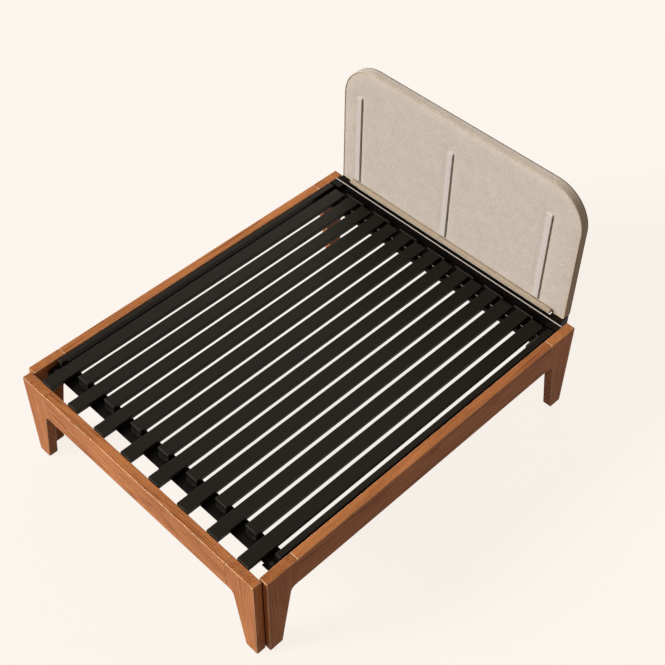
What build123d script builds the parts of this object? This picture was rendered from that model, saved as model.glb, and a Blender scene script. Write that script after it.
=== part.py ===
from build123d import *
import os

os.makedirs("parts", exist_ok=True)

# Extendable slatted daybed in millimetres, shown pushed in.
# +Z is up, +X is to the right, and the foot end faces -Y.
# The pull-out frame slides along -Y, out of the main frame.

# Wooden frames
overall_width = 1200.0
frame_height = 400.0
wood_thick = 36.0
rail_height = 130.0
knee_length = 127.0
knee_run = 27.0
knee_radius = 20.0
foot_width = 54.0
wood_round = 3.0
joint_groove = 2
side_length = 1488.0
pull_inset = 20.0
frame_gap = 3.0
pad_thick = 4.0
pad_margin = 6.0

# Dowels in the knee joints
dowel_diameter = 10.0
dowel_length = 60.0
dowel_edge = 35.0
dowel_clear = 0.1

# Slats: steel tubes with plugged ends
slat_width = 52.0
slat_height = 18.0
slat_wall = 1.5
slat_round = 3.0
slat_inner_round = 1.5
slat_proud = 3.0
slat_count = 15
slat_head_gap = 38.0
slat_screw_set = 20.0
pull_slat_setback = 2.0
pull_slat_head_gap = 46.0
plug_flange = 3.0
plug_depth = 10.0
plug_wall = 2.0
plug_edge = 1.2
plug_clear = 0.1

# Side tubes at slat level
side_tube_width = 22.0
side_tube_gap = 5.5
side_tube_lead = 5.0

# Sheet steel and the front cross bar
steel = 3.0
seat_height = 13.0
bar_width = 70.0
bar_set = 58.0
bar_drop = 40.0
bar_end_gap = 1.0
bracket_width = 43.0
bracket_lead = 8.0

# Slat holders and glides on the cross bar
holder_width = 48.0
holder_length = 28.0
holder_nose = 10.0
holder_set = 39.0
glide_width = 30.0
glide_length = 46.0
glide_round = 4.0

# Head beam, its slat seats and the corner plates
web_thick = 4.0
web_set = 34.0
web_drop = 55.0
web_proud = 2.0
shelf_width = 68.0
shelf_step_width = 12.0
shelf_step_height = 7.0
beam_lip = 18
seat_lip_width = 88
seat_lip_thick = 3
seat_lip_clear = 0.4
seat_lip_edge = 1
plate_width = 47.0
plate_depth = 29.0

# Runner channels, the shoes in them and their stops
channel_depth = 45.0
channel_flange = 30.0
channel_end_gap = 4.0
shoe_length = 66.0
shoe_neck = 13.5
shoe_side_clear = 0.5
shoe_tongue = 20.0
shoe_end_gap = 2.0
slide_clear = 0.3
travel = 480.0
stop_length = 18.0
stop_width = 16.0
stop_height = 12.0

# Ledger, cross tube and spacers of the pull-out frame
ledger_thick = 5.0
ledger_height = 50.0
ledger_inset = 40.0
tab_width = 40.0
tab_length = 55.0
tab_screw_set = 32.0
cross_tube_width = 26
cross_tube_height = 25
cross_tube_wall = 2.0
cross_tube_round = 4.0
spacer_height = 7.0

# Headboard
headboard_side_gap = 12.0
headboard_lift = 8.0
headboard_height = 554.0
headboard_set = 7.0
headboard_thick = 38.0
headboard_radius = 150.0
headboard_foot_radius = 8.0
cover_front = 6.0
cover_wall = 3.0
cover_round = 4.0
core_thick = 12.0
core_clear = 0.2
batten_width = 30.0
back_thick = 3.0
back_inset = 1.0
band_depth = 17.0
band_height = 22.0
band_round = 5.0
band_end_gap = 1.0
strip_width = 26.0
strip_proud = 6.0
strip_thin = 1.5
strip_height = 400.0
strip_lift = 2.0
strip_pitch = 445.0
strip_offset = -26.0
strip_round = 1.2

# Posts that carry the headboard, and the blocks they stand behind
post_width = 52.0
post_rise = 260.0
block_lead = 10.0
block_step = 9.0

# Fasteners
screw_diameter = 5.0
screw_head = 9.6
screw_length = 26.0
screw_count = 5
screw_margin = 60.0
short_screw_head_height = 3.0
short_screw_grip = 3.0
bolt_diameter = 8.0
bolt_head = 13.0
bolt_head_height = 3.5
bolt_bite = 10.0
hole_clear = 0.2

# Places that follow from the sizes above
overall_depth = wood_thick + frame_gap + side_length - headboard_set + headboard_thick
front_y = -overall_depth / 2
half_width = overall_width / 2
inner_x = half_width - wood_thick
pull_half_width = half_width - pull_inset
rail_bottom = frame_height - rail_height
side_y = front_y + wood_thick + frame_gap
side_back_y = side_y + side_length
side_rail_y = side_y + knee_length
side_rail_back_y = side_back_y - knee_length

slat_top = frame_height + slat_proud
slat_bottom = slat_top - slat_height
slat_mid_z = (slat_top + slat_bottom) / 2
plate_top = slat_bottom - seat_height
plate_bottom = plate_top - steel
bar_y = side_y + bar_set
bar_back_y = bar_y + bar_width
web_y = side_back_y - web_set
web_back_y = web_y + web_thick
web_top = frame_height + web_proud
web_bottom = web_top - web_drop
shelf_y = web_y - shelf_width

side_tube_x = inner_x - side_tube_gap - side_tube_width / 2
side_tube_inner_x = side_tube_x - side_tube_width / 2
slat_gap = (2 * side_tube_inner_x - slat_count * slat_width) / (slat_count + 1)
slat_pitch = slat_width + slat_gap
slat_x = [(i - (slat_count - 1) / 2) * slat_pitch for i in range(slat_count)]
pull_slat_x = slat_x[0::2]
fixed_slat_x = slat_x[1::2]
fixed_slat_y = bar_y + holder_set
fixed_slat_back_y = web_y - slat_head_gap
seat_lip_y = fixed_slat_back_y + seat_lip_clear
seat_lip_back_y = seat_lip_y + seat_lip_thick
pull_slat_y = front_y + wood_thick + pull_slat_setback
pull_slat_back_y = web_y - pull_slat_head_gap
side_tube_y = fixed_slat_y - side_tube_lead

channel_y = bar_back_y + channel_end_gap
channel_back_y = shelf_y - channel_end_gap
channel_bottom = slat_bottom - channel_depth
channel_floor = channel_bottom + steel
channel_screw_z = channel_bottom + channel_depth / 2
shoe_outer_x = inner_x - steel - shoe_side_clear
shoe_inner_x = inner_x - channel_flange - shoe_neck
shoe_bottom = channel_floor + slide_clear
shoe_top = slat_bottom - steel - slide_clear
shoe_back_y = channel_back_y - shoe_end_gap
shoe_y = shoe_back_y - shoe_length
cross_tube_y = shoe_back_y - cross_tube_width / 2
cross_tube_top = slat_bottom - spacer_height
cross_tube_bottom = cross_tube_top - cross_tube_height
stop_y = shoe_y - travel - slide_clear - stop_length
ledger_y = front_y + wood_thick
ledger_half = pull_half_width - ledger_inset

headboard_y = side_back_y - headboard_set
headboard_back_y = headboard_y + headboard_thick
headboard_half = inner_x - headboard_side_gap
headboard_bottom = frame_height + headboard_lift
headboard_mid_z = headboard_bottom + headboard_height / 2
core_y = headboard_y + cover_front
core_back_y = core_y + core_thick
pocket_inset = cover_wall + core_clear
back_y = headboard_back_y - back_thick
post_inner_x = headboard_half - post_width
post_outer_x = headboard_half - pocket_inset
post_x = (post_inner_x + post_outer_x) / 2
post_top = headboard_bottom + post_rise
block_step_y = headboard_y - block_lead
band_half = post_inner_x - band_end_gap
band_top = headboard_bottom + band_height

screw_head_height = (screw_head - screw_diameter) / 2
screw_hole = screw_diameter + 2 * hole_clear
wood_screw_hole = screw_diameter + 2 * dowel_clear
bolt_hole = bolt_diameter + 2 * hole_clear
dowel_hole = dowel_diameter + 2 * dowel_clear
dowel_heights = [frame_height - dowel_edge, rail_bottom + dowel_edge]


def save(piece, name):
    """Label one finished piece and write its file."""
    piece.part.label = name
    export_step(piece.part, f"parts/{name}.step")
    print(name, len(piece.part.solids()), round(piece.part.volume))


def spaced(first, last, count):
    """Evenly spaced places from the first to the last."""
    return [first + (last - first) * i / (count - 1) for i in range(count)]


def add_block(x, y, z, mode=Mode.ADD):
    """Add or cut a block that spans the given pairs of x, y and z."""
    with BuildSketch(Plane.XY.offset(z[0])) as outline:
        with Locations(((x[0] + x[1]) / 2, (y[0] + y[1]) / 2)):
            Rectangle(x[1] - x[0], y[1] - y[0])
    extrude(outline.sketch, amount=z[1] - z[0], mode=mode)


def add_rod(start, way, diameter, length, mode=Mode.ADD):
    """Add or cut a round rod that runs from a point along a direction."""
    with BuildSketch(Plane(origin=start, z_dir=way)) as outline:
        Circle(diameter / 2)
    extrude(outline.sketch, amount=length, mode=mode)


def add_sunk_screw(start, way, length=screw_length, spare=0.0, mode=Mode.ADD):
    """Add a countersunk screw with its head flush at the start point, or cut its hole with spare room."""
    with BuildSketch(Plane(origin=start, z_dir=way)) as head:
        Circle(screw_head / 2 + spare)
    extrude(head.sketch, amount=screw_head_height, taper=45, mode=mode)
    add_rod(start, way, screw_diameter + 2 * spare, length, mode)


def add_head_screw(start, way, diameter, head, head_height, length):
    """Add a screw or bolt whose head lies in front of the start point, with its shank behind it."""
    back = Vector(start) - Vector(way) * head_height
    add_rod(back, way, head, head_height)
    add_rod(start, way, diameter, length)


def around(middle, width):
    """The pair of places that a width spans around its middle."""
    return (middle - width / 2, middle + width / 2)


def mirrored(span, side):
    """A pair of x places on the right side, or its mirror image on the left."""
    return span if side > 0 else (-span[1], -span[0])


# Screw and bolt places, shared by the pieces that they join

def channel_screws(side):
    """Screws from a runner channel into its side rail, at the channel web's inner face."""
    first = side_rail_y + screw_margin
    last = side_rail_back_y - screw_margin
    return [(side * (inner_x - steel), y, channel_screw_z) for y in spaced(first, last, screw_count)]


def bracket_screws(side):
    """Screws from a bar bracket into its front leg."""
    places = spaced(bar_y + screw_head, bar_y + 3 * screw_head, 2)
    return [(side * (inner_x - steel), y, plate_bottom - bar_drop / 2) for y in places]


def plate_screws(side):
    """The screw from a corner plate into its back leg."""
    z = (plate_top + shelf_step_height + frame_height) / 2
    return [(side * (inner_x - steel), web_y - plate_depth / 2, z)]


def side_screws(side):
    """All screws that go into one side frame."""
    return channel_screws(side) + bracket_screws(side) + plate_screws(side)


def bracket_bolt(side):
    """The bolt that joins the cross bar to its bracket, at the bar's top face."""
    return (side * (inner_x - bracket_width / 2), bar_y + bolt_head, plate_top)


def block_bolts(side):
    """Bolts through the head beam into a post: one through the corner plate, one below the shelf."""
    x = side * (inner_x - plate_width + bolt_head)
    upper = (x, web_y - steel, (plate_top + shelf_step_height + frame_height) / 2)
    lower = (x, web_y, (web_bottom + plate_bottom) / 2)
    return [upper, lower]


def post_screws(side):
    """Screws through a post into the headboard's core, from behind."""
    places = spaced(headboard_bottom + screw_margin, post_top - screw_margin / 2, 3)
    return [(side * post_x, back_y, z) for z in places]


ledger_screws = [(x, ledger_y + ledger_thick, plate_top - bar_drop / 2) for x in fixed_slat_x[1:-1]]
holder_screws = [(x, fixed_slat_y + slat_screw_set, plate_bottom) for x in fixed_slat_x]
seat_screws = [(x, fixed_slat_back_y - slat_screw_set, plate_bottom) for x in fixed_slat_x]
tab_screws = [(x, ledger_y + tab_screw_set, slat_bottom - ledger_thick) for x in pull_slat_x]
tube_screws = [(x, cross_tube_y, cross_tube_bottom) for x in pull_slat_x]


def add_short_screw(start):
    """Add an upright screw from a plate's underside up into a slat."""
    length = slat_bottom - start[2] + slat_wall + short_screw_grip
    add_head_screw(start, (0, 0, 1), screw_diameter, screw_head, short_screw_head_height, length)


def cut_short_screw(start):
    """Cut the hole of an upright screw into whatever it passes, from below."""
    below = (start[0], start[1], start[2] - short_screw_head_height)
    length = slat_bottom - below[2] + slat_wall + short_screw_grip
    add_rod(below, (0, 0, 1), screw_hole, length, Mode.SUBTRACT)


# Wooden frames: knee legs, rails and dowels

def side_frame_plane(side, end):
    """Plane of a side frame: X runs from its foot (-1) or head (1) end toward the middle, Y is up."""
    way = -end
    low_x = inner_x if side > 0 else -half_width
    x = low_x if way > 0 else low_x + wood_thick
    y = side_y if end < 0 else side_back_y
    return Plane(origin=(x, y, 0), x_dir=(0, way, 0), z_dir=(way, 0, 0))


def pull_frame_plane(side):
    """Plane of the pull-out frame: X runs from its left (-1) or right (1) end toward the middle."""
    way = -side
    y = front_y + (wood_thick if way > 0 else 0)
    return Plane(origin=(side * pull_half_width, y, 0), x_dir=(way, 0, 0), z_dir=(0, -way, 0))


def joint_centre(plane, along):
    """The middle of a knee joint's face, at a distance along the frame."""
    return plane.from_local_coords(Vector(along, frame_height - rail_height / 2, wood_thick / 2))


def joint_face(piece, plane, along):
    """The face of a leg or rail that lies in a knee joint."""
    centre = joint_centre(plane, along)
    return piece.faces().sort_by(lambda face: (face.center() - centre).length)[0]


def cut_dowel_holes(plane, along, way):
    """Cut the two dowel holes of a knee joint, going along (1) or against (-1) the plane's X."""
    for height in dowel_heights:
        start = plane.from_local_coords(Vector(along, height, wood_thick / 2))
        add_rod(start, plane.x_dir * way, dowel_hole, dowel_length / 2 + 1, Mode.SUBTRACT)


def cut_wood_screws(screws, side):
    """Cut the screw holes of a side frame's piece, starting at the wood's inner face."""
    for x, y, z in screws:
        add_rod((side * inner_x, y, z), (side, 0, 0), wood_screw_hole,
                screw_length - steel + 1, Mode.SUBTRACT)


def build_leg(plane, screws=(), side=1):
    """A knee leg: upright outer edge, tapered inner edge, rounded knee and a joint toward the rail."""
    with BuildPart() as leg:
        with BuildSketch(plane):
            with BuildLine():
                Polyline(
                    (0, pad_thick),
                    (0, frame_height),
                    (knee_length, frame_height),
                    (knee_length, rail_bottom),
                    (knee_length - knee_run, rail_bottom),
                    (foot_width, pad_thick),
                    close=True,
                )
            make_face()
        extrude(amount=wood_thick)
        crook = plane.from_local_coords(Vector(knee_length - knee_run, rail_bottom, wood_thick / 2))
        fillet(leg.edges().sort_by(lambda edge: (edge.center() - crook).length)[0], knee_radius)
        joint_edges = joint_face(leg, plane, knee_length).edges()
        centres = [edge.center() for edge in joint_edges]
        soft = [e for e in leg.edges() if min((e.center() - c).length for c in centres) > wood_round]
        fillet(soft, wood_round)
        chamfer(joint_face(leg, plane, knee_length).edges(), joint_groove)
        cut_dowel_holes(plane, knee_length, -1)
        cut_wood_screws(screws, side)
    return leg


def build_rail(plane, frame_length, screws=(), side=1):
    """A rail between two knees, with rounded long edges, grooved ends and dowel holes."""
    length = frame_length - 2 * knee_length
    with BuildPart() as rail:
        with BuildSketch(plane):
            with Locations((frame_length / 2, frame_height - rail_height / 2)):
                Rectangle(length, rail_height)
        extrude(amount=wood_thick)
        fillet(rail.edges().filter_by(lambda edge: abs(edge.length - length) < 0.01), wood_round)
        for along in (knee_length, frame_length - knee_length):
            chamfer(joint_face(rail, plane, along).edges(), joint_groove)
        cut_dowel_holes(plane, knee_length, 1)
        cut_dowel_holes(plane, frame_length - knee_length, -1)
        cut_wood_screws(screws, side)
    return rail


def add_dowels(plane, frame_length):
    """Add the dowels of one wooden frame, centred on its two knee joints."""
    for along in (knee_length, frame_length - knee_length):
        for height in dowel_heights:
            start = plane.from_local_coords(Vector(along - dowel_length / 2, height, wood_thick / 2))
            add_rod(start, plane.x_dir, dowel_diameter, dowel_length)


def add_pad(plane):
    """Add the pad under one leg's foot."""
    corner = plane.from_local_coords(Vector(pad_margin, 0, pad_margin))
    far = plane.from_local_coords(Vector(foot_width - pad_margin, 0, wood_thick - pad_margin))
    add_block(sorted((corner.X, far.X)), sorted((corner.Y, far.Y)), (0, pad_thick))


for side, side_name in ((-1, "left"), (1, "right")):
    foot_plane = side_frame_plane(side, -1)
    save(build_rail(foot_plane, side_length, channel_screws(side), side), f"{side_name}_side_rail")
    save(build_leg(foot_plane, bracket_screws(side), side), f"{side_name}_front_leg")
    save(build_leg(side_frame_plane(side, 1), plate_screws(side), side), f"{side_name}_back_leg")
    save(build_leg(pull_frame_plane(side)), f"pull_out_{side_name}_leg")

with BuildPart() as side_frame_dowels:
    for side in (-1, 1):
        add_dowels(side_frame_plane(side, -1), side_length)
save(side_frame_dowels, "side_frame_dowels")

with BuildPart() as side_leg_pads:
    for side in (-1, 1):
        for end in (-1, 1):
            add_pad(side_frame_plane(side, end))
save(side_leg_pads, "side_leg_pads")

with BuildPart() as pull_out_pads:
    for side in (-1, 1):
        add_pad(pull_frame_plane(side))
save(pull_out_pads, "pull_out_pads")

pull_out_rail = build_rail(pull_frame_plane(-1), 2 * pull_half_width)
with BuildPart() as pull_out_rail_drilled:
    add(pull_out_rail.part)
    for x, y, z in ledger_screws:
        add_rod((x, ledger_y, z), (0, -1, 0), wood_screw_hole,
                screw_length - ledger_thick + 1, Mode.SUBTRACT)
save(pull_out_rail_drilled, "pull_out_rail")

with BuildPart() as pull_out_dowels:
    add_dowels(pull_frame_plane(-1), 2 * pull_half_width)
save(pull_out_dowels, "pull_out_dowels")


# Slats and side tubes

def build_tube(x, width, start_y, end_y, screws=()):
    """A flat tube along Y at slat level, open at both ends, with screw holes in its underside."""
    with BuildPart() as tube:
        with BuildSketch(Plane.XZ.offset(-start_y - plug_flange)):
            with Locations((x, slat_mid_z)):
                RectangleRounded(width, slat_height, slat_round)
                RectangleRounded(width - 2 * slat_wall, slat_height - 2 * slat_wall, slat_inner_round,
                                 mode=Mode.SUBTRACT)
        extrude(amount=start_y + 2 * plug_flange - end_y)
        for start in screws:
            cut_short_screw(start)
    return tube


def add_plug(x, width, end_y, way):
    """Add the plug in one end of a slat: a flange over the tube's end and a hollow plug inside it."""
    plane = Plane(origin=(x, end_y, slat_mid_z), x_dir=(1, 0, 0), z_dir=(0, way, 0))
    with BuildSketch(plane) as rim:
        RectangleRounded(width, slat_height, slat_round)
    extrude(rim.sketch, amount=plug_flange)
    inset = slat_wall + plug_clear
    with BuildSketch(plane.offset(plug_flange)) as sleeve:
        RectangleRounded(width - 2 * inset, slat_height - 2 * inset, slat_inner_round)
        inset = inset + plug_wall
        Rectangle(width - 2 * inset, slat_height - 2 * inset, mode=Mode.SUBTRACT)
    extrude(sleeve.sketch, amount=plug_depth)


def ease_plugs(plugs, ends):
    """Ease the outer rims of the plugs whose faces lie at the given places along Y."""
    rims = [edge for edge in plugs.edges() if min(abs(edge.center().Y - end) for end in ends) < plug_clear]
    chamfer(rims, plug_edge)


for i, x in enumerate(fixed_slat_x):
    save(build_tube(x, slat_width, fixed_slat_y, fixed_slat_back_y, [holder_screws[i], seat_screws[i]]),
         f"fixed_slat_{i + 1}")
for i, x in enumerate(pull_slat_x):
    save(build_tube(x, slat_width, pull_slat_y, pull_slat_back_y, [tab_screws[i], tube_screws[i]]),
         f"pull_out_slat_{i + 1}")
for side, side_name in ((-1, "left"), (1, "right")):
    save(build_tube(side * side_tube_x, side_tube_width, side_tube_y, fixed_slat_back_y),
         f"{side_name}_side_tube")

with BuildPart() as fixed_slat_plugs:
    for x in fixed_slat_x:
        add_plug(x, slat_width, fixed_slat_y, 1)
        add_plug(x, slat_width, fixed_slat_back_y, -1)
    for side in (-1, 1):
        add_plug(side * side_tube_x, side_tube_width, side_tube_y, 1)
        add_plug(side * side_tube_x, side_tube_width, fixed_slat_back_y, -1)
    ease_plugs(fixed_slat_plugs, (side_tube_y, fixed_slat_y, fixed_slat_back_y))
save(fixed_slat_plugs, "fixed_slat_plugs")

with BuildPart() as pull_out_slat_plugs:
    for x in pull_slat_x:
        add_plug(x, slat_width, pull_slat_y, 1)
        add_plug(x, slat_width, pull_slat_back_y, -1)
    ease_plugs(pull_out_slat_plugs, (pull_slat_y, pull_slat_back_y))
save(pull_out_slat_plugs, "pull_out_slat_plugs")


# Front cross bar with its brackets, slat holders and glides

with BuildPart() as front_cross_bar:
    bar_half = inner_x - bar_end_gap
    add_block((-bar_half, bar_half), (bar_y, bar_back_y), (plate_bottom, plate_top))
    add_block((-bar_half, bar_half), (bar_back_y - steel, bar_back_y), (plate_top - bar_drop, plate_bottom))
    for start in holder_screws:
        cut_short_screw(start)
    for side in (-1, 1):
        add_rod(bracket_bolt(side), (0, 0, -1), bolt_hole, steel, Mode.SUBTRACT)
save(front_cross_bar, "front_cross_bar")

with BuildPart() as bar_brackets:
    for side in (-1, 1):
        depth = (bar_y - bracket_lead, bar_back_y - steel)
        shelf = mirrored((inner_x - bracket_width, inner_x), side)
        cheek = mirrored((inner_x - steel, inner_x), side)
        add_block(shelf, depth, (plate_bottom - steel, plate_bottom))
        add_block(cheek, depth, (plate_top - bar_drop, plate_bottom - steel))
        x, y, z = bracket_bolt(side)
        add_rod((x, y, plate_bottom), (0, 0, -1), bolt_hole, steel, Mode.SUBTRACT)
        for start in bracket_screws(side):
            add_sunk_screw(start, (side, 0, 0), steel, hole_clear, Mode.SUBTRACT)
save(bar_brackets, "bar_brackets")

with BuildPart() as slat_holders:
    for x in fixed_slat_x:
        left, right = around(x, holder_width)
        with BuildSketch(Plane.XY.offset(plate_top)) as outline:
            with BuildLine():
                ThreePointArc((left, fixed_slat_y), (x, fixed_slat_y - holder_nose), (right, fixed_slat_y))
                Polyline((right, fixed_slat_y), (right, fixed_slat_y + holder_length),
                         (left, fixed_slat_y + holder_length), (left, fixed_slat_y))
            make_face()
        extrude(outline.sketch, amount=seat_height)
    for side in (-1, 1):
        add_block(around(side * side_tube_x, side_tube_width),
                  (side_tube_y, side_tube_y + holder_length), (plate_top, slat_bottom))
    for start in holder_screws:
        cut_short_screw(start)
save(slat_holders, "slat_holders")

with BuildPart() as slat_glides:
    glide_span = around(bar_y + bar_width / 2, glide_length)
    for x in pull_slat_x:
        add_block(around(x, glide_width), glide_span, (plate_top, slat_bottom - slide_clear))
    fillet(slat_glides.edges().filter_by(Axis.Z), glide_round)
save(slat_glides, "slat_glides")


# Head beam with its seats and corner plates

with BuildPart() as head_beam:
    with BuildSketch(Plane.YZ.offset(-inner_x)):
        with BuildLine():
            Polyline(
                (shelf_y, plate_bottom),
                (web_y, plate_bottom),
                (web_y, web_bottom),
                (web_back_y, web_bottom),
                (web_back_y, web_top),
                (web_y, web_top),
                (web_y, plate_top + shelf_step_height),
                (web_y - shelf_step_width, plate_top + shelf_step_height),
                (web_y - shelf_step_width, plate_top),
                (shelf_y, plate_top),
                close=True,
            )
        make_face()
    extrude(amount=2 * inner_x)
    lip_top = headboard_bottom - block_step
    add_block((-band_half, band_half), (web_back_y, web_back_y + beam_lip), (lip_top - steel, lip_top))
    for start in seat_screws:
        cut_short_screw(start)
    for side in (-1, 1):
        for x, y, z in block_bolts(side):
            add_rod((x, web_y, z), (0, 1, 0), bolt_hole, web_thick, Mode.SUBTRACT)
save(head_beam, "head_beam")

with BuildPart() as slat_seats:
    seat_span = (shelf_y + steel, seat_lip_back_y)
    for x in fixed_slat_x:
        add_block(around(x, holder_width), seat_span, (plate_top, slat_bottom))
        add_block(around(x, seat_lip_width), (seat_lip_y, seat_lip_back_y), (plate_top, slat_top))
    chamfer(slat_seats.edges().group_by(Axis.Z)[-1], seat_lip_edge)
    for side in (-1, 1):
        add_block(around(side * side_tube_x, side_tube_width), seat_span, (plate_top, slat_bottom))
    for start in seat_screws:
        cut_short_screw(start)
save(slat_seats, "slat_seats")

with BuildPart() as corner_plates:
    for side in (-1, 1):
        base = plate_top + shelf_step_height
        outer = (inner_x - plate_width, inner_x)
        add_block(mirrored(outer, side), (web_y - plate_depth, web_y), (base, frame_height))
        inner = (inner_x - plate_width - steel, inner_x - steel)
        add_block(mirrored(inner, side), (web_y - plate_depth - steel, web_y - steel),
                  (base - steel, frame_height - steel), Mode.SUBTRACT)
        for start in plate_screws(side):
            add_sunk_screw(start, (side, 0, 0), steel, hole_clear, Mode.SUBTRACT)
        add_rod(block_bolts(side)[0], (0, 1, 0), bolt_hole, steel, Mode.SUBTRACT)
save(corner_plates, "corner_plates")


# Runner channels and their stops

for side, side_name in ((-1, "left"), (1, "right")):
    with BuildPart() as runner_channel:
        run = (channel_y, channel_back_y)
        flange = mirrored((inner_x - channel_flange, inner_x), side)
        add_block(flange, run, (slat_bottom - steel, slat_bottom))
        add_block(flange, run, (channel_bottom, channel_floor))
        add_block(mirrored((inner_x - steel, inner_x), side), run, (channel_floor, slat_bottom - steel))
        for start in channel_screws(side):
            add_sunk_screw(start, (side, 0, 0), steel, hole_clear, Mode.SUBTRACT)
    save(runner_channel, f"{side_name}_runner_channel")

with BuildPart() as runner_stops:
    for side in (-1, 1):
        add_block(mirrored((inner_x - steel - stop_width, inner_x - steel), side),
                  (stop_y, stop_y + stop_length), (channel_floor, channel_floor + stop_height))
save(runner_stops, "runner_stops")


# Pull-out ledger, cross tube, shoes and spacers

with BuildPart() as slat_ledger:
    add_block((-ledger_half, ledger_half), (ledger_y, ledger_y + ledger_thick),
              (slat_bottom - ledger_height, slat_bottom))
    tab_span = (ledger_y + ledger_thick, ledger_y + ledger_thick + tab_length)
    for x in pull_slat_x:
        add_block(around(x, tab_width), tab_span, (slat_bottom - ledger_thick, slat_bottom))
    for start in tab_screws:
        cut_short_screw(start)
    for x, y, z in ledger_screws:
        add_rod((x, y, z), (0, -1, 0), screw_hole, ledger_thick, Mode.SUBTRACT)
save(slat_ledger, "slat_ledger")

with BuildPart() as cross_tube:
    with BuildSketch(Plane.YZ.offset(-shoe_inner_x)):
        with Locations((cross_tube_y, (cross_tube_top + cross_tube_bottom) / 2)):
            RectangleRounded(cross_tube_width, cross_tube_height, cross_tube_round)
            RectangleRounded(cross_tube_width - 2 * cross_tube_wall, cross_tube_height - 2 * cross_tube_wall,
                             cross_tube_round - cross_tube_wall, mode=Mode.SUBTRACT)
    extrude(amount=2 * shoe_inner_x)
    for start in tube_screws:
        cut_short_screw(start)
save(cross_tube, "cross_tube")

with BuildPart() as runner_shoes:
    inset = cross_tube_wall + plug_clear
    for side in (-1, 1):
        across = mirrored((shoe_inner_x, shoe_outer_x), side)
        add_block(across, (shoe_y, shoe_back_y), (shoe_bottom, shoe_top))
        start = (side * shoe_inner_x, cross_tube_y, (cross_tube_top + cross_tube_bottom) / 2)
        tongue_plane = Plane(origin=start, x_dir=(0, 1, 0), z_dir=(-side, 0, 0))
        with BuildSketch(tongue_plane) as tongue:
            RectangleRounded(cross_tube_width - 2 * inset, cross_tube_height - 2 * inset,
                             cross_tube_round - cross_tube_wall)
        extrude(tongue.sketch, amount=shoe_tongue)
save(runner_shoes, "runner_shoes")

with BuildPart() as cross_tube_spacers:
    spacer_span = around(cross_tube_y, cross_tube_width)
    for x in pull_slat_x:
        add_block(around(x, tab_width), spacer_span, (cross_tube_top, slat_bottom))
    for start in tube_screws:
        cut_short_screw(start)
save(cross_tube_spacers, "cross_tube_spacers")


# Headboard: core, battens, cover, back panel, band and strips

def headboard_outline(y, inset):
    """The headboard's outline, drawn in by an inset, on the upright plane at y."""
    with BuildSketch(Plane.XZ.offset(-y)) as outline:
        with Locations((0, headboard_mid_z)):
            Rectangle(2 * (headboard_half - inset), headboard_height - 2 * inset)
        fillet(outline.vertices().group_by(Axis.Y)[-1], headboard_radius - inset)
        fillet(outline.vertices().group_by(Axis.Y)[0], headboard_foot_radius - inset)
    return outline.sketch


with BuildPart() as headboard_cover:
    extrude(headboard_outline(headboard_y, 0), amount=headboard_y - back_y)
    fillet(headboard_cover.faces().sort_by(Axis.Y)[0].edges(), cover_round)
    extrude(headboard_outline(core_y, cover_wall), amount=core_y - back_y, mode=Mode.SUBTRACT)
    for side in (-1, 1):
        slot = mirrored((post_inner_x - core_clear, post_outer_x + core_clear), side)
        add_block(slot, (core_back_y - core_clear, back_y),
                  (headboard_bottom, headboard_bottom + headboard_foot_radius), Mode.SUBTRACT)
save(headboard_cover, "headboard_cover")

with BuildPart() as headboard_core:
    extrude(headboard_outline(core_y, pocket_inset), amount=-core_thick)
    for side in (-1, 1):
        for x, y, z in post_screws(side):
            add_rod((x, core_back_y, z), (0, -1, 0), wood_screw_hole,
                    screw_length - (back_y - core_back_y) + 1, Mode.SUBTRACT)
save(headboard_core, "headboard_core")

with BuildPart() as headboard_battens:
    batten_depth = back_y - core_back_y
    extrude(headboard_outline(core_back_y, pocket_inset), amount=-batten_depth)
    with BuildSketch(Plane.XZ.offset(-core_back_y)) as opening:
        with Locations((0, headboard_mid_z)):
            Rectangle(2 * (headboard_half - pocket_inset - batten_width),
                      headboard_height - 2 * (pocket_inset + batten_width))
        fillet(opening.vertices().group_by(Axis.Y)[-1], headboard_radius - pocket_inset - batten_width)
    extrude(opening.sketch, amount=-batten_depth, mode=Mode.SUBTRACT)
    for side in (-1, 1):
        add_block(mirrored((post_inner_x - core_clear, headboard_half), side), (core_back_y, back_y),
                  (headboard_bottom, post_top + core_clear), Mode.SUBTRACT)
save(headboard_battens, "headboard_battens")

with BuildPart() as headboard_back:
    extrude(headboard_outline(back_y, back_inset), amount=-back_thick)
save(headboard_back, "headboard_back")

with BuildPart() as headboard_band:
    add_block((-band_half, band_half), (headboard_y - band_depth, headboard_y), (headboard_bottom, band_top))
    fillet(headboard_band.faces().sort_by(Axis.Y)[0].edges(), band_round)
save(headboard_band, "headboard_band")

with BuildPart() as headboard_strips:
    for i in (-1, 0, 1):
        right = i * strip_pitch + strip_offset + strip_width / 2
        left = right - strip_width
        with BuildSketch(Plane.XY.offset(band_top + strip_lift)) as outline:
            with BuildLine():
                Polyline(
                    (left, headboard_y),
                    (left, headboard_y - strip_thin),
                    (right, headboard_y - strip_proud),
                    (right, headboard_y),
                    close=True,
                )
            make_face()
            fillet(outline.vertices().group_by(Axis.Y)[0], strip_round)
        extrude(outline.sketch, amount=strip_height)
save(headboard_strips, "headboard_strips")


# Posts, and the blocks between them and the head beam

for side, side_name in ((-1, "left"), (1, "right")):
    with BuildPart() as post:
        across = mirrored((post_inner_x, post_outer_x), side)
        add_block(across, (core_back_y, back_y), (web_bottom, post_top))
        for x, y, z in post_screws(side):
            add_sunk_screw((x, y, z), (0, -1, 0), back_y - core_back_y, hole_clear, Mode.SUBTRACT)
        for x, y, z in block_bolts(side):
            add_rod((x, core_back_y, z), (0, 1, 0), bolt_hole, bolt_bite + 1, Mode.SUBTRACT)
    save(post, f"{side_name}_headboard_post")

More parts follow.
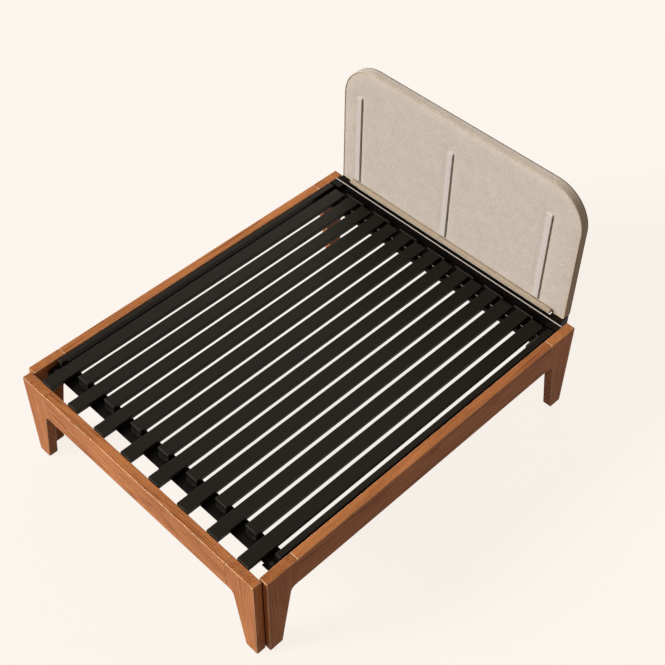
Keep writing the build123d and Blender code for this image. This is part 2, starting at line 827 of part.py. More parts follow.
with BuildPart() as post_blocks:
    for side in (-1, 1):
        across = mirrored((post_inner_x, headboard_half), side)
        add_block(across, (web_back_y, core_back_y), (web_bottom, headboard_bottom - block_step))
        add_block(across, (block_step_y, core_back_y), (headboard_bottom - block_step, headboard_bottom))
        for x, y, z in block_bolts(side):
            add_rod((x, web_back_y, z), (0, 1, 0), bolt_hole, core_back_y - web_back_y,
                    Mode.SUBTRACT)
save(post_blocks, "post_blocks")


# Fasteners, as groups of separate solids

with BuildPart() as wood_screws:
    for side in (-1, 1):
        for start in side_screws(side):
            add_sunk_screw(start, (side, 0, 0))
        for start in post_screws(side):
            add_sunk_screw(start, (0, -1, 0))
save(wood_screws, "wood_screws")

with BuildPart() as frame_bolts:
    for side in (-1, 1):
        add_head_screw(bracket_bolt(side), (0, 0, -1), bolt_diameter, bolt_head, bolt_head_height,
                       2 * steel + bolt_bite)
        for x, y, z in block_bolts(side):
            add_head_screw((x, y, z), (0, 1, 0), bolt_diameter, bolt_head, bolt_head_height,
                           core_back_y - y + bolt_bite)
save(frame_bolts, "frame_bolts")

with BuildPart() as fixed_slat_screws:
    for start in holder_screws + seat_screws:
        add_short_screw(start)
save(fixed_slat_screws, "fixed_slat_screws")

with BuildPart() as pull_out_screws:
    for start in tab_screws + tube_screws:
        add_short_screw(start)
    for start in ledger_screws:
        add_head_screw(start, (0, -1, 0), screw_diameter, screw_head, short_screw_head_height, screw_length)
save(pull_out_screws, "pull_out_screws")
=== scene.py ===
"""Dresses a slatted bed whose foot end pulls out: oiled wood, black steel slats and a cloth headboard.

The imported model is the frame. Its wood, steel and plastic nodes stay and get their finishes here.
The headboard's cloth is built here as padded pieces, with its welt, stitches and staples.
"""

import logging
import math
from collections.abc import Callable, Iterable, Sequence
from dataclasses import dataclass, field
from enum import Enum

import bmesh
import bpy
from mathutils import Matrix, Vector, noise
from mathutils.bvhtree import BVHTree
from mathutils.geometry import delaunay_2d_cdt


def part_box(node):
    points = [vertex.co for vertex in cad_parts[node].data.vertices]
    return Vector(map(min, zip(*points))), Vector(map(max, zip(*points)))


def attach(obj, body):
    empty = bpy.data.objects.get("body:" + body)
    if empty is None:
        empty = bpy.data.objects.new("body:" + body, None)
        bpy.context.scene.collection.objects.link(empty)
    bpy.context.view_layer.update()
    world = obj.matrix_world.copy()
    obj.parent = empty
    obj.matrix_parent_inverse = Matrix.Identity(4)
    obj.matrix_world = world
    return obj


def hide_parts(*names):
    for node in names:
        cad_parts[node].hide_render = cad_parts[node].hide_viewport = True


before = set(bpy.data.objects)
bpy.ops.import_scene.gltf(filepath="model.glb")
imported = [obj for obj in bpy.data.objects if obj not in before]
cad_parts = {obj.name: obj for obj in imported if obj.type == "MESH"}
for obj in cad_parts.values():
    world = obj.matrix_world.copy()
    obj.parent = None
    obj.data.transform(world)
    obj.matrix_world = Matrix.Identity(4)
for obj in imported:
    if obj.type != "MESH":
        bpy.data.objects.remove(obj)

log = logging.getLogger("bed")

Socket = bpy.types.NodeSocket
Value = Socket | float | Sequence[float]
Point = tuple[float, float, float]


@dataclass(frozen=True)
class Tone:
    """A colour as a screen shows it, each channel from 0 to 255."""

    red: float
    green: float
    blue: float

    def linear(self) -> tuple[float, float, float, float]:
        """The colour in linear light, with full alpha."""
        parts = [c / 255 for c in (self.red, self.green, self.blue)]
        r, g, b = (p / 12.92 if p <= 0.04045 else ((p + 0.055) / 1.055) ** 2.4 for p in parts)
        return (r, g, b, 1.0)


class Grain(Enum):
    """The way that a board's grain runs, as the turn that takes the X axis to it."""

    ACROSS = (0.0, 0.0, 0.0)
    LENGTHWAYS = (0.0, 0.0, math.pi / 2)
    UPRIGHT = (0.0, -math.pi / 2, 0.0)


@dataclass
class Bench:
    """A node tree on the workbench, with short ways to add and join nodes.

    Args:
        tree: The shader or geometry tree that is being built.
    """

    tree: bpy.types.NodeTree

    def add(self, kind: str, **settings: object) -> bpy.types.Node:
        """Adds a node.

        Args:
            kind: The node's type.
            settings: Properties to set on the node.

        Returns:
            The new node.
        """
        node = self.tree.nodes.new(kind)
        for name, value in settings.items():
            setattr(node, name, value)
        return node

    def feed(self, target: Socket, value: Value) -> None:
        """Gives a socket a value, or a link where the value is another socket."""
        if isinstance(value, bpy.types.NodeSocket):
            self.tree.links.new(value, target)
        else:
            target.default_value = value

    def math(self, operation: str, first: Value, second: Value = 0.0, third: Value = 0.0) -> Socket:
        """A number worked out from up to three others.

        Args:
            operation: Blender's name for the sum.
            first: The first number or socket.
            second: The second number or socket.
            third: The third number or socket.

        Returns:
            The socket that holds the result.
        """
        node = self.add("ShaderNodeMath", operation=operation)
        for target, value in zip(node.inputs, (first, second, third)):
            self.feed(target, value)
        return node.outputs[0]

    def vector(self, operation: str, first: Value, second: Value = (0.0, 0.0, 0.0)) -> Socket:
        """A vector worked out from one or two others, by Blender's name for the sum."""
        node = self.add("ShaderNodeVectorMath", operation=operation)
        self.feed(node.inputs[0], first)
        self.feed(node.inputs[1], second)
        return node.outputs[0]

    def scaled(self, place: Value, factor: Value) -> Socket:
        """A vector made longer or shorter by a factor."""
        node = self.add("ShaderNodeVectorMath", operation="SCALE")
        self.feed(node.inputs[0], place)
        self.feed(node.inputs["Scale"], factor)
        return node.outputs[0]

    def split(self, place: Value) -> tuple[Socket, Socket, Socket]:
        """The x, y and z of a vector."""
        node = self.add("ShaderNodeSeparateXYZ")
        self.feed(node.inputs[0], place)
        return tuple(node.outputs)

    def spread(
        self, value: Value, low: float, high: float, to_low: float = 0.0, to_high: float = 1.0
    ) -> Socket:
        """Spreads one range of a number smoothly over another, and holds it at the ends.

        Args:
            value: The number or socket.
            low: The start of its own range.
            high: The end of its own range.
            to_low: What the start becomes.
            to_high: What the end becomes.

        Returns:
            The socket that holds the result.
        """
        node = self.add("ShaderNodeMapRange", interpolation_type="SMOOTHSTEP")
        for target, number in zip(node.inputs, (value, low, high, to_low, to_high)):
            self.feed(target, number)
        return node.outputs[0]

    def noise(
        self, place: Value, scale: float = 1.0, detail: float = 2.0, roughness: float = 0.5
    ) -> bpy.types.Node:
        """A soft noise over a place, by its scale, detail and roughness."""
        node = self.add("ShaderNodeTexNoise")
        self.feed(node.inputs["Vector"], place)
        for name, number in (("Scale", scale), ("Detail", detail), ("Roughness", roughness)):
            node.inputs[name].default_value = number
        return node

    def streaks(self, place: Value, squeeze: Point, detail: float = 2.0, roughness: float = 0.5) -> Socket:
        """The level of a noise that runs in streaks.

        Args:
            place: Where the noise is read.
            squeeze: How many metres' worth of noise each metre along X, Y and Z holds.
            detail: How many finer layers it has.
            roughness: How strong those layers are.

        Returns:
            The socket that holds the level.
        """
        squeezed = self.vector("MULTIPLY", place, squeeze)
        return self.noise(squeezed, detail=detail, roughness=roughness).outputs["Fac"]

    def blend(self, share: Value, first: Value, second: Value) -> Socket:
        """Mixes two colours.

        Args:
            share: How much of the second colour shows.
            first: The first colour.
            second: The second colour.

        Returns:
            The socket that holds the mixed colour.
        """
        node = self.add("ShaderNodeMix", data_type="RGBA", blend_type="MIX")
        self.feed(node.inputs[0], share)
        self.feed(node.inputs[6], first)
        self.feed(node.inputs[7], second)
        return node.outputs[2]

    def ramp(self, value: Value, stops: Sequence[tuple[float, float]]) -> Socket:
        """Reads a number through a grey ramp of (place, level) stops."""
        node = self.add("ShaderNodeValToRGB")
        points = node.color_ramp.elements
        while len(points) < len(stops):
            points.new(0.5)
        for point, (place, level) in zip(points, stops):
            point.position = place
            point.color = (level, level, level, 1.0)
        self.feed(node.inputs[0], value)
        return node.outputs[0]

    def finish_with(self, shape: Socket, finish: Socket, result: Socket) -> None:
        """Ends a geometry tree: makes copies real, gives them their material and hands them on."""
        real = self.add("GeometryNodeRealizeInstances")
        self.feed(real.inputs[0], shape)
        dressed = self.add("GeometryNodeSetMaterial")
        self.feed(dressed.inputs["Geometry"], real.outputs[0])
        self.feed(dressed.inputs["Material"], finish)
        self.feed(result, dressed.outputs[0])


class NodeGroup:
    """A node group that several users share, built once.

    Args:
        kind: The tree's type.
        name: The group's name.
        inputs: Each input's name, socket type and first value.
        outputs: Each output's name and socket type.
    """

    def __init__(
        self,
        kind: str,
        name: str,
        inputs: Sequence[tuple[str, str, object]],
        outputs: Sequence[tuple[str, str]],
    ) -> None:
        """Makes the tree with its sockets, and leaves its inside to fill()."""
        self.tree = bpy.data.node_groups.new(name, kind)
        face = self.tree.interface
        for label, socket_type, value in inputs:
            socket = face.new_socket(name=label, in_out="INPUT", socket_type=socket_type)
            if value is not None:
                socket.default_value = value
        for label, socket_type in outputs:
            face.new_socket(name=label, in_out="OUTPUT", socket_type=socket_type)
        self.bench = Bench(self.tree)
        self.given = self.bench.add("NodeGroupInput").outputs
        self.result = self.bench.add("NodeGroupOutput").inputs
        self.fill()

    def fill(self) -> None:
        """Builds the nodes between the group's inputs and outputs."""
        raise NotImplementedError


class ShaderGroup(NodeGroup):
    """A node group that materials share.

    Args:
        name: The group's name.
        inputs: Each input's name, socket type and first value.
        outputs: Each output's name and socket type.
    """

    def __init__(
        self,
        name: str,
        inputs: Sequence[tuple[str, str, object]],
        outputs: Sequence[tuple[str, str]],
    ) -> None:
        """Makes the shader tree."""
        super().__init__("ShaderNodeTree", name, inputs, outputs)

    def place(self, bench: Bench, **values: Value) -> dict[str, Socket]:
        """Puts the group in a material.

        Args:
            bench: The material's bench.
            values: Input values or sockets, by name with underscores for spaces.

        Returns:
            The group's output sockets by name.
        """
        node = bench.add("ShaderNodeGroup", node_tree=self.tree)
        for name, value in values.items():
            bench.feed(node.inputs[name.replace("_", " ")], value)
        return {socket.name: socket for socket in node.outputs}


class BoardFigure(ShaderGroup):
    """Wood with its pith along X: growth rings, fibres, pores and slow changes of tone."""

    def __init__(self) -> None:
        """Names the sockets."""
        super().__init__(
            "board_figure",
            [
                ("Vector", "NodeSocketVector", None),
                ("Ring Spacing", "NodeSocketFloat", 0.006),
                ("Wander", "NodeSocketFloat", 0.008),
                ("Ring Depth", "NodeSocketFloat", 0.4),
                ("Fibre Depth", "NodeSocketFloat", 1.1),
                ("Light", "NodeSocketColor", (0.6, 0.3, 0.15, 1.0)),
                ("Dark", "NodeSocketColor", (0.25, 0.08, 0.03, 1.0)),
            ],
            [
                ("Colour", "NodeSocketColor"),
                ("Height", "NodeSocketFloat"),
                ("Dullness", "NodeSocketFloat"),
            ],
        )

    def fill(self) -> None:
        """Bends the place a little, counts rings out from the pith and streaks them with fibres."""
        b, given = self.bench, self.given
        place = given["Vector"]
        drift = b.noise(b.vector("MULTIPLY", place, (1.3, 9.0, 9.0)), detail=2.0)
        bend = b.vector("SUBTRACT", drift.outputs["Color"], (0.5, 0.5, 0.5))
        bent = b.vector("ADD", place, b.scaled(bend, given["Wander"]))
        across = b.vector("MULTIPLY", bent, (0.0, 1.0, 1.0))
        reach = b.add("ShaderNodeVectorMath", operation="LENGTH")
        b.feed(reach.inputs[0], across)
        count = b.math("DIVIDE", reach.outputs["Value"], given["Ring Spacing"])
        uneven = b.streaks(place, (0.8, 24.0, 24.0), detail=3.0, roughness=0.6)
        count = b.math("ADD", count, b.math("MULTIPLY", uneven, 5.5))
        late_wood = [(0.0, 0.0), (0.4, 0.1), (0.8, 0.85), (0.94, 1.0), (1.0, 0.05)]
        sharp = b.ramp(b.math("FRACT", count), late_wood)
        strong = b.streaks(place, (3.0, 60.0, 60.0))
        ring = b.math("MULTIPLY", sharp, b.spread(strong, 0.3, 0.65, 0.25, 1.0))
        fibre = b.streaks(bent, (7.0, 330.0, 330.0), detail=4.0, roughness=0.65)
        patch = b.streaks(place, (2.2, 11.0, 11.0))
        pore = b.spread(b.streaks(bent, (38.0, 1500.0, 1500.0), detail=1.0), 0.58, 0.72)
        streak = b.math("MULTIPLY", b.math("SUBTRACT", fibre, 0.5), given["Fibre Depth"])
        tone = b.math("MULTIPLY_ADD", ring, given["Ring Depth"], streak)
        tone = b.math("ADD", tone, b.math("MULTIPLY_ADD", patch, 0.7, -0.12))
        shade = b.blend(b.spread(tone, 0.0, 1.0), given["Light"], given["Dark"])
        worn = b.blend(b.math("MULTIPLY", pore, 0.5), shade, given["Dark"])
        b.feed(self.result["Colour"], worn)
        height = b.math("MULTIPLY_ADD", fibre, 0.35, b.math("MULTIPLY", pore, -0.6))
        b.feed(self.result["Height"], b.math("MULTIPLY_ADD", ring, -0.25, height))
        b.feed(self.result["Dullness"], b.math("MULTIPLY_ADD", fibre, 0.5, b.math("MULTIPLY", ring, 0.5)))


class EdgeWearAndHighlight(ShaderGroup):
    """A mask of a piece's rounded edges, broken up in patches where hands and cloth rub them; the finishes
    use it to lighten worn edges and to paint a highlight along them.
    """

    def __init__(self) -> None:
        """Names the sockets."""
        super().__init__(
            "edge_wear",
            [("Vector", "NodeSocketVector", None), ("Patch Size", "NodeSocketFloat", 0.03)],
            [("Mask", "NodeSocketFloat")],
        )

    def fill(self) -> None:
        """Finds faces that look along no axis, which are the rounded edges, and breaks them up."""
        b, given = self.bench, self.given
        facing = b.add("ShaderNodeNewGeometry").outputs["True Normal"]
        x, y, z = b.split(b.vector("ABSOLUTE", facing))
        slant = b.spread(b.math("MAXIMUM", x, b.math("MAXIMUM", y, z)), 0.97, 0.86)
        patches = b.scaled(given["Vector"], b.math("DIVIDE", 1.0, given["Patch Size"]))
        wear_highlight_mask = b.spread(b.noise(patches, detail=3.0).outputs["Fac"], 0.3, 0.6, 0.35, 1.0)
        b.feed(self.result["Mask"], b.math("MULTIPLY", slant, wear_highlight_mask))


class Crevice(ShaderGroup):
    """A mask of narrow gaps and grooves, where light hardly gets in; the wood uses it to paint shade there.
    """

    def __init__(self) -> None:
        """Names the sockets."""
        super().__init__("crevice", [("Reach", "NodeSocketFloat", 0.006)], [("Mask", "NodeSocketFloat")])

    def fill(self) -> None:
        """Reads how much of a small dome over each point is shut in."""
        b, given = self.bench, self.given
        shut = b.add("ShaderNodeAmbientOcclusion", samples=8)
        b.feed(shut.inputs["Distance"], given["Reach"])
        b.feed(self.result["Mask"], b.spread(shut.outputs["AO"], 0.78, 0.42))


class PlainWeave(ShaderGroup):
    """Cloth woven one over one, with thick and thin yarns and a slow mottle."""

    def __init__(self) -> None:
        """Names the sockets."""
        super().__init__(
            "plain_weave",
            [
                ("Vector", "NodeSocketVector", None),
                ("Pitch", "NodeSocketFloat", 0.0018),
                ("Slub", "NodeSocketFloat", 0.5),
            ],
            [
                ("Height", "NodeSocketFloat"),
                ("Yarn", "NodeSocketFloat"),
                ("Mottle", "NodeSocketFloat"),
            ],
        )

    def fill(self) -> None:
        """Crosses three sets of ridges, so that each flat side shows two of them, and adds slubs."""
        b, given = self.bench, self.given
        place = given["Vector"]
        sway = b.noise(place, scale=160.0, detail=1.0).outputs["Color"]
        sway = b.vector("MULTIPLY", b.vector("SUBTRACT", sway, (0.5, 0.5, 0.5)), (0.0009, 0.0009, 0.0009))
        crossing = b.scaled(b.vector("ADD", place, sway), b.math("DIVIDE", math.pi, given["Pitch"]))
        x, y, z = b.split(b.vector("SINE", crossing))
        flat = b.math("MULTIPLY", x, z)
        top = b.math("MULTIPLY", x, y)
        side = b.math("MULTIPLY", y, z)
        knit = b.math("ADD", flat, b.math("ADD", top, side))
        long_yarn = b.streaks(place, (420.0, 420.0, 70.0), detail=3.0)
        cross_yarn = b.streaks(place, (70.0, 420.0, 420.0), detail=3.0)
        yarn = b.math("MULTIPLY", b.math("ADD", long_yarn, cross_yarn), 0.5)
        height = b.math("MULTIPLY_ADD", knit, 0.18, b.math("MULTIPLY", yarn, given["Slub"]))
        b.feed(self.result["Height"], height)
        fleck = b.noise(place, scale=240.0, detail=3.0, roughness=0.75).outputs["Fac"]
        b.feed(self.result["Yarn"], b.math("MULTIPLY", b.math("ADD", yarn, fleck), 0.5))
        mottle = b.noise(place, scale=26.0, detail=3.0, roughness=0.6).outputs["Fac"]
        b.feed(self.result["Mottle"], mottle)


class FineSpeckle(ShaderGroup):
    """The fine skin of powder paint or moulded plastic, with faint smears."""

    def __init__(self) -> None:
        """Names the sockets."""
        super().__init__(
            "fine_speckle",
            [("Vector", "NodeSocketVector", None), ("Grain Size", "NodeSocketFloat", 0.0012)],
            [("Height", "NodeSocketFloat"), ("Smear", "NodeSocketFloat")],
        )

    def fill(self) -> None:
        """Lays a fine noise for the skin and a broad one for the smears."""
        b, given = self.bench, self.given
        grains = b.scaled(given["Vector"], b.math("DIVIDE", 1.0, given["Grain Size"]))
        b.feed(self.result["Height"], b.noise(grains, detail=2.0).outputs["Fac"])
        smear = b.streaks(given["Vector"], (30.0, 6.0, 30.0), detail=3.0, roughness=0.6)
        b.feed(self.result["Smear"], smear)


class PathRow(NodeGroup):
    """A geometry tree that lays copies of a small piece in a row along a path."""

    def __init__(self) -> None:
        """Names the sockets."""
        super().__init__(
            "GeometryNodeTree",
            "row_along_path",
            [
                ("Path", "NodeSocketGeometry", None),
                ("Small Piece", "NodeSocketObject", None),
                ("Spacing", "NodeSocketFloat", 0.006),
                ("Uneven Turn", "NodeSocketFloat", 0.05),
                ("Uneven Size", "NodeSocketFloat", 0.1),
                ("Seed", "NodeSocketInt", 3),
                ("Finish", "NodeSocketMaterial", None),
            ],
            [("Row", "NodeSocketGeometry")],
        )

    def fill(self) -> None:
        """Spaces points along the path and stands a slightly turned and sized copy on each."""
        b, given = self.bench, self.given
        points = b.add("GeometryNodeCurveToPoints", mode="LENGTH")
        b.feed(points.inputs["Curve"], given["Path"])
        b.feed(points.inputs["Length"], given["Spacing"])
        small = b.add("GeometryNodeObjectInfo")
        b.feed(small.inputs["Object"], given["Small Piece"])
        turn = b.add("FunctionNodeRandomValue", data_type="FLOAT_VECTOR")
        wide = b.add("ShaderNodeCombineXYZ")
        b.feed(wide.inputs[0], given["Uneven Turn"])
        b.feed(turn.inputs["Max"], wide.outputs[0])
        b.feed(turn.inputs["Min"], b.scaled(wide.outputs[0], -1.0))
        b.feed(turn.inputs["Seed"], given["Seed"])
        twist = b.add("FunctionNodeRotateRotation", rotation_space="LOCAL")
        b.feed(twist.inputs["Rotation"], points.outputs["Rotation"])
        b.feed(twist.inputs["Rotate By"], turn.outputs[0])
        size = b.add("FunctionNodeRandomValue", data_type="FLOAT")
        b.feed(size.inputs[2], b.math("SUBTRACT", 1.0, given["Uneven Size"]))
        b.feed(size.inputs[3], b.math("ADD", 1.0, given["Uneven Size"]))
        b.feed(size.inputs["Seed"], given["Seed"])
        copies = b.add("GeometryNodeInstanceOnPoints")
        b.feed(copies.inputs["Points"], points.outputs["Points"])
        b.feed(copies.inputs["Instance"], small.outputs["Geometry"])
        b.feed(copies.inputs["Rotation"], twist.outputs[0])
        b.feed(copies.inputs["Scale"], size.outputs[1])
        b.finish_with(copies.outputs[0], given["Finish"], self.result["Row"])


class PathCord(NodeGroup):
    """A geometry tree that sweeps a round cord along a path, with small swells in it."""

    def __init__(self) -> None:
        """Names the sockets."""
        super().__init__(
            "GeometryNodeTree",
            "cord_along_path",
            [
                ("Path", "NodeSocketGeometry", None),
                ("Radius", "NodeSocketFloat", 0.002),
                ("Step", "NodeSocketFloat", 0.004),
                ("Swell", "NodeSocketFloat", 0.06),
                ("Sides", "NodeSocketInt", 10),
                ("Finish", "NodeSocketMaterial", None),
            ],
            [("Cord", "NodeSocketGeometry")],
        )

    def fill(self) -> None:
        """Sweeps a circle along the evened path, a little thicker here and thinner there."""
        b, given = self.bench, self.given
        even = b.add("GeometryNodeResampleCurve", mode="LENGTH")
        b.feed(even.inputs["Curve"], given["Path"])
        b.feed(even.inputs["Length"], given["Step"])
        soft = b.add("ShaderNodeTexNoise")
        soft.inputs["Scale"].default_value = 55.0
        swell = b.math("MULTIPLY", b.math("SUBTRACT", soft.outputs[0], 0.5), given["Swell"])
        thick = b.add("GeometryNodeSetCurveRadius")
        b.feed(thick.inputs["Curve"], even.outputs[0])
        b.feed(thick.inputs["Radius"], b.math("ADD", 1.0, swell))
        round_profile = b.add("GeometryNodeCurvePrimitiveCircle")
        b.feed(round_profile.inputs["Resolution"], given["Sides"])
        b.feed(round_profile.inputs["Radius"], given["Radius"])
        swept = b.add("GeometryNodeCurveToMesh")
        b.feed(swept.inputs["Curve"], thick.outputs[0])
        b.feed(swept.inputs["Profile Curve"], round_profile.outputs[0])
        smooth = b.add("GeometryNodeSetShadeSmooth")
        b.feed(smooth.inputs[0], swept.outputs[0])
        b.finish_with(smooth.outputs[0], given["Finish"], self.result["Cord"])


@dataclass
class Groups:
    """The node groups that the finishes and the trim share."""

    board: BoardFigure = field(default_factory=BoardFigure)
    edge_wear_and_highlight: EdgeWearAndHighlight = field(default_factory=EdgeWearAndHighlight)
    crevice: Crevice = field(default_factory=Crevice)
    weave: PlainWeave = field(default_factory=PlainWeave)
    speckle: FineSpeckle = field(default_factory=FineSpeckle)
    row: PathRow = field(default_factory=PathRow)
    cord: PathCord = field(default_factory=PathCord)


class Surface:
    """A material under construction, with its shader and its object coordinates.

    Args:
        name: The material's name.
        numbers: Values set on the shader's own sockets, by socket name.
    """

    def __init__(self, name: str, **numbers: Value) -> None:
        """Makes the material with an empty tree, a shader and an output."""
        self.material = bpy.data.materials.new(name)
        self.material.use_nodes = True
        self.material.node_tree.nodes.clear()
        self.bench = Bench(self.material.node_tree)
        self.shader = self.bench.add("ShaderNodeBsdfPrincipled")
        output = self.bench.add("ShaderNodeOutputMaterial")
        self.bench.feed(output.inputs["Surface"], self.shader.outputs[0])
        self.coordinates = self.bench.add("ShaderNodeTexCoord").outputs["Object"]
        for label, value in numbers.items():
            self.shader.inputs[label.replace("_", " ")].default_value = value

    def give(self, **values: Value) -> None:
        """Feeds the shader's sockets, by name with underscores for spaces."""
        for label, value in values.items():
            self.bench.feed(self.shader.inputs[label.replace("_", " ")], value)

    def raised(self, height: Socket, distance: float, strength: float = 1.0) -> Socket:
        """The normal of a surface raised by a height.

        Args:
            height: The height from 0 to 1.
            distance: How far a height of 1 stands up, in metres.
            strength: How much of it shows.

        Returns:
            The bumped normal's socket.
        """
        bump = self.bench.add("ShaderNodeBump")
        bump.inputs["Strength"].default_value = strength
        bump.inputs["Distance"].default_value = distance
        self.bench.feed(bump.inputs["Height"], height)
        return bump.outputs[0]


@dataclass(frozen=True)
class OiledWood:
    """Solid wood with a satin oil, cut from its own place in the log.

    Args:
        name: The material's name.
        grain: The way that the board's grain runs.
        heart: A point on the log's pith, in metres.
        lean: How far the pith leans from the grain's axis, in degrees, about two axes.
        light: The early wood's colour.
        dark: The late wood's and the pores' colour.
        worn: The colour of worn edges, which also paints a highlight along them.
        groove_shade: The colour of the painted shade in grooves and gaps.
        ring_spacing: From one growth ring to the next.
        ring_depth: How strongly the rings show.
    """

    name: str
    grain: Grain
    heart: Point
    lean: tuple[float, float] = (0.0, 0.0)
    light: Tone = Tone(214, 141, 88)
    dark: Tone = Tone(108, 46, 19)
    # Next, the pale tone of worn edges, which also paints a highlight on them, and the tone of the painted
    # shade in grooves.
    worn: Tone = Tone(250, 214, 170)
    groove_shade: Tone = Tone(44, 16, 6)
    ring_spacing: float = 0.0062
    ring_depth: float = 0.42

    def build(self, groups: Groups) -> bpy.types.Material:
        """Makes the material from the shared board figure, the edge mask for worn edges and a painted
        highlight, and the crevice mask for painted shade.
        """
        surface = Surface(self.name, Specular_IOR_Level=0.05, Coat_Roughness=0.24, Coat_IOR=1.4)
        b = surface.bench
        turn = b.add("ShaderNodeMapping", vector_type="TEXTURE")
        b.feed(turn.inputs["Vector"], surface.coordinates)
        turn.inputs["Location"].default_value = self.heart
        x, y, z = self.grain.value
        first, second = (math.radians(a) for a in self.lean)
        along_y = self.grain is Grain.LENGTHWAYS
        leaning = (x + first, y, z + second) if along_y else (x, y + first, z + second)
        turn.inputs["Rotation"].default_value = leaning
        figure = groups.board.place(
            b,
            Vector=turn.outputs[0],
            Ring_Spacing=self.ring_spacing,
            Ring_Depth=self.ring_depth,
            Light=self.light.linear(),
            Dark=self.dark.linear(),
        )
        # Painted shade: grooves and gaps darken by how shut in they are, and keep none of the pale edge
        # tone.
        groove_shade_mask = groups.crevice.place(b)["Mask"]
        wear_highlight_mask = groups.edge_wear_and_highlight.place(b, Vector=surface.coordinates)["Mask"]
        wear_highlight_mask = b.math("MULTIPLY", wear_highlight_mask, b.math("SUBTRACT", 1.0, groove_shade_mask))
        # Rounded edges lighten towards the worn tone: partly real worn edges, partly a painted highlight.
        colour = b.blend(b.math("MULTIPLY", wear_highlight_mask, 0.6), figure["Colour"], self.worn.linear())
        colour = b.blend(b.math("MULTIPLY", groove_shade_mask, 0.85), colour, self.groove_shade.linear())
        dull = b.math("MULTIPLY_ADD", figure["Dullness"], 0.16, 0.4)
        surface.give(Base_Color=colour, Roughness=b.math("MULTIPLY_ADD", wear_highlight_mask, -0.08, dull))
        surface.give(Coat_Weight=b.math("MULTIPLY", wear_highlight_mask, 0.5))
        surface.give(Normal=surface.raised(figure["Height"], 0.00035, 0.7))
        return surface.material


@dataclass(frozen=True)
class PowderPaint:
    """Black paint baked on steel, satin, with a fine skin, pale worn edges that also carry a painted
    highlight, and a painted highlight band above a set height.

    Args:
        name: The material's name.
        colour: The paint's colour.
        worn: The colour of worn edges, which also paints a highlight along them.
        gloss: The shader's specular level.
        dullness: The roughness under the smears.
        edge_wear_and_highlight: How strongly the worn edges and their painted highlight show.
        lit_above: The height above which the paint turns to a painted highlight, in metres.
        highlight_fade: The height over which the paint gives way to it.
        top_highlight_tone: The colour of that painted highlight.
    """

    name: str
    colour: Tone = Tone(21, 18, 12)
    # A grey tone for worn edges, which also paints a faint highlight along them.
    worn: Tone = Tone(96, 90, 82)
    gloss: float = 0.12
    dullness: float = 0.34
    edge_wear_and_highlight: float = 0.3
    # Above this height the colour turns to a painted highlight; 9 m keeps it off unless a finish sets it
    # lower.
    lit_above: float = 9.0
    highlight_fade: float = 0.0004
    top_highlight_tone: Tone = Tone(222, 214, 210)

    def build(self, groups: Groups) -> bpy.types.Material:
        """Makes the material from the shared speckle and the edge mask: pale worn edges that carry a painted
        highlight, and a painted highlight band at the top.
        """
        surface = Surface(self.name, Specular_IOR_Level=self.gloss)
        b = surface.bench
        skin = groups.speckle.place(b, Vector=surface.coordinates)
        wear_highlight_mask = groups.edge_wear_and_highlight.place(b, Vector=surface.coordinates)["Mask"]
        _, _, height = b.split(surface.coordinates)
        # Painted highlight: the colour turns pale above lit_above, as if light caught the top edge there.
        painted_top_highlight = b.spread(height, self.lit_above, self.lit_above + self.highlight_fade)
        # Edges lighten towards the worn tone: partly real worn edges, partly a painted highlight.
        shown = b.blend(b.math("MULTIPLY", wear_highlight_mask, self.edge_wear_and_highlight), self.colour.linear(), self.worn.linear())
        smeared = b.blend(b.math("MULTIPLY", skin["Smear"], 0.2), shown, (0.012, 0.010, 0.008, 1.0))
        surface.give(Base_Color=b.blend(painted_top_highlight, smeared, self.top_highlight_tone.linear()))
        surface.give(Roughness=b.math("MULTIPLY_ADD", skin["Smear"], 0.16, self.dullness))
        surface.give(Normal=surface.raised(skin["Height"], 0.00005, 0.6))
        return surface.material


@dataclass(frozen=True)
class MouldedPlastic:
    """Moulded plastic with a fine spark-eroded skin.

    Args:
        name: The material's name.
        colour: The plastic's colour.
        scuff_highlight_tone: Its colour on scuff marks and edges, which also paints a highlight along the
            edges.
        dullness: The roughness under the scuff marks.
    """

    name: str
    colour: Tone
    scuff_highlight_tone: Tone
    dullness: float = 0.45

    def build(self, groups: Groups) -> bpy.types.Material:
        """Makes the material from the shared speckle and the edge mask, which gives scuff marks and a
        painted highlight on the edges.
        """
        surface = Surface(self.name, Specular_IOR_Level=0.12)
        b = surface.bench
        skin = groups.speckle.place(b, Vector=surface.coordinates, Grain_Size=0.0007)
        wear_highlight_mask = groups.edge_wear_and_highlight.place(b, Vector=surface.coordinates, Patch_Size=0.012)["Mask"]
        # Edges lighten with the smears: partly scuff marks, partly a painted highlight on the edges.
        scuff_highlight_share = b.math("MULTIPLY_ADD", wear_highlight_mask, 0.4, b.math("MULTIPLY", skin["Smear"], 0.15))
        surface.give(Base_Color=b.blend(scuff_highlight_share, self.colour.linear(), self.scuff_highlight_tone.linear()))
        surface.give(Roughness=b.math("MULTIPLY_ADD", skin["Height"], 0.15, self.dullness))
        surface.give(Normal=surface.raised(skin["Height"], 0.00006, 0.8))
        return surface.material


@dataclass(frozen=True)
class PlatedSteel:
    """Bright plated steel with drawn lines and dull patches.

    Args:
        name: The material's name.
        colour: The plating's colour.
        tarnish: Its colour where it has dulled.
    """

    name: str
    colour: Tone = Tone(206, 206, 202)
    tarnish: Tone = Tone(150, 146, 138)

    def build(self, groups: Groups) -> bpy.types.Material:
        """Makes the material from the shared speckle."""
        surface = Surface(self.name, Metallic=1.0)
        b = surface.bench
        skin = groups.speckle.place(b, Vector=surface.coordinates, Grain_Size=0.0004)
        patches = b.spread(skin["Smear"], 0.4, 0.65)
        surface.give(Base_Color=b.blend(patches, self.colour.linear(), self.tarnish.linear()))
        surface.give(Roughness=b.math("MULTIPLY_ADD", patches, 0.18, 0.28))
        surface.give(Normal=surface.raised(skin["Height"], 0.00003, 0.5))
        return surface.material


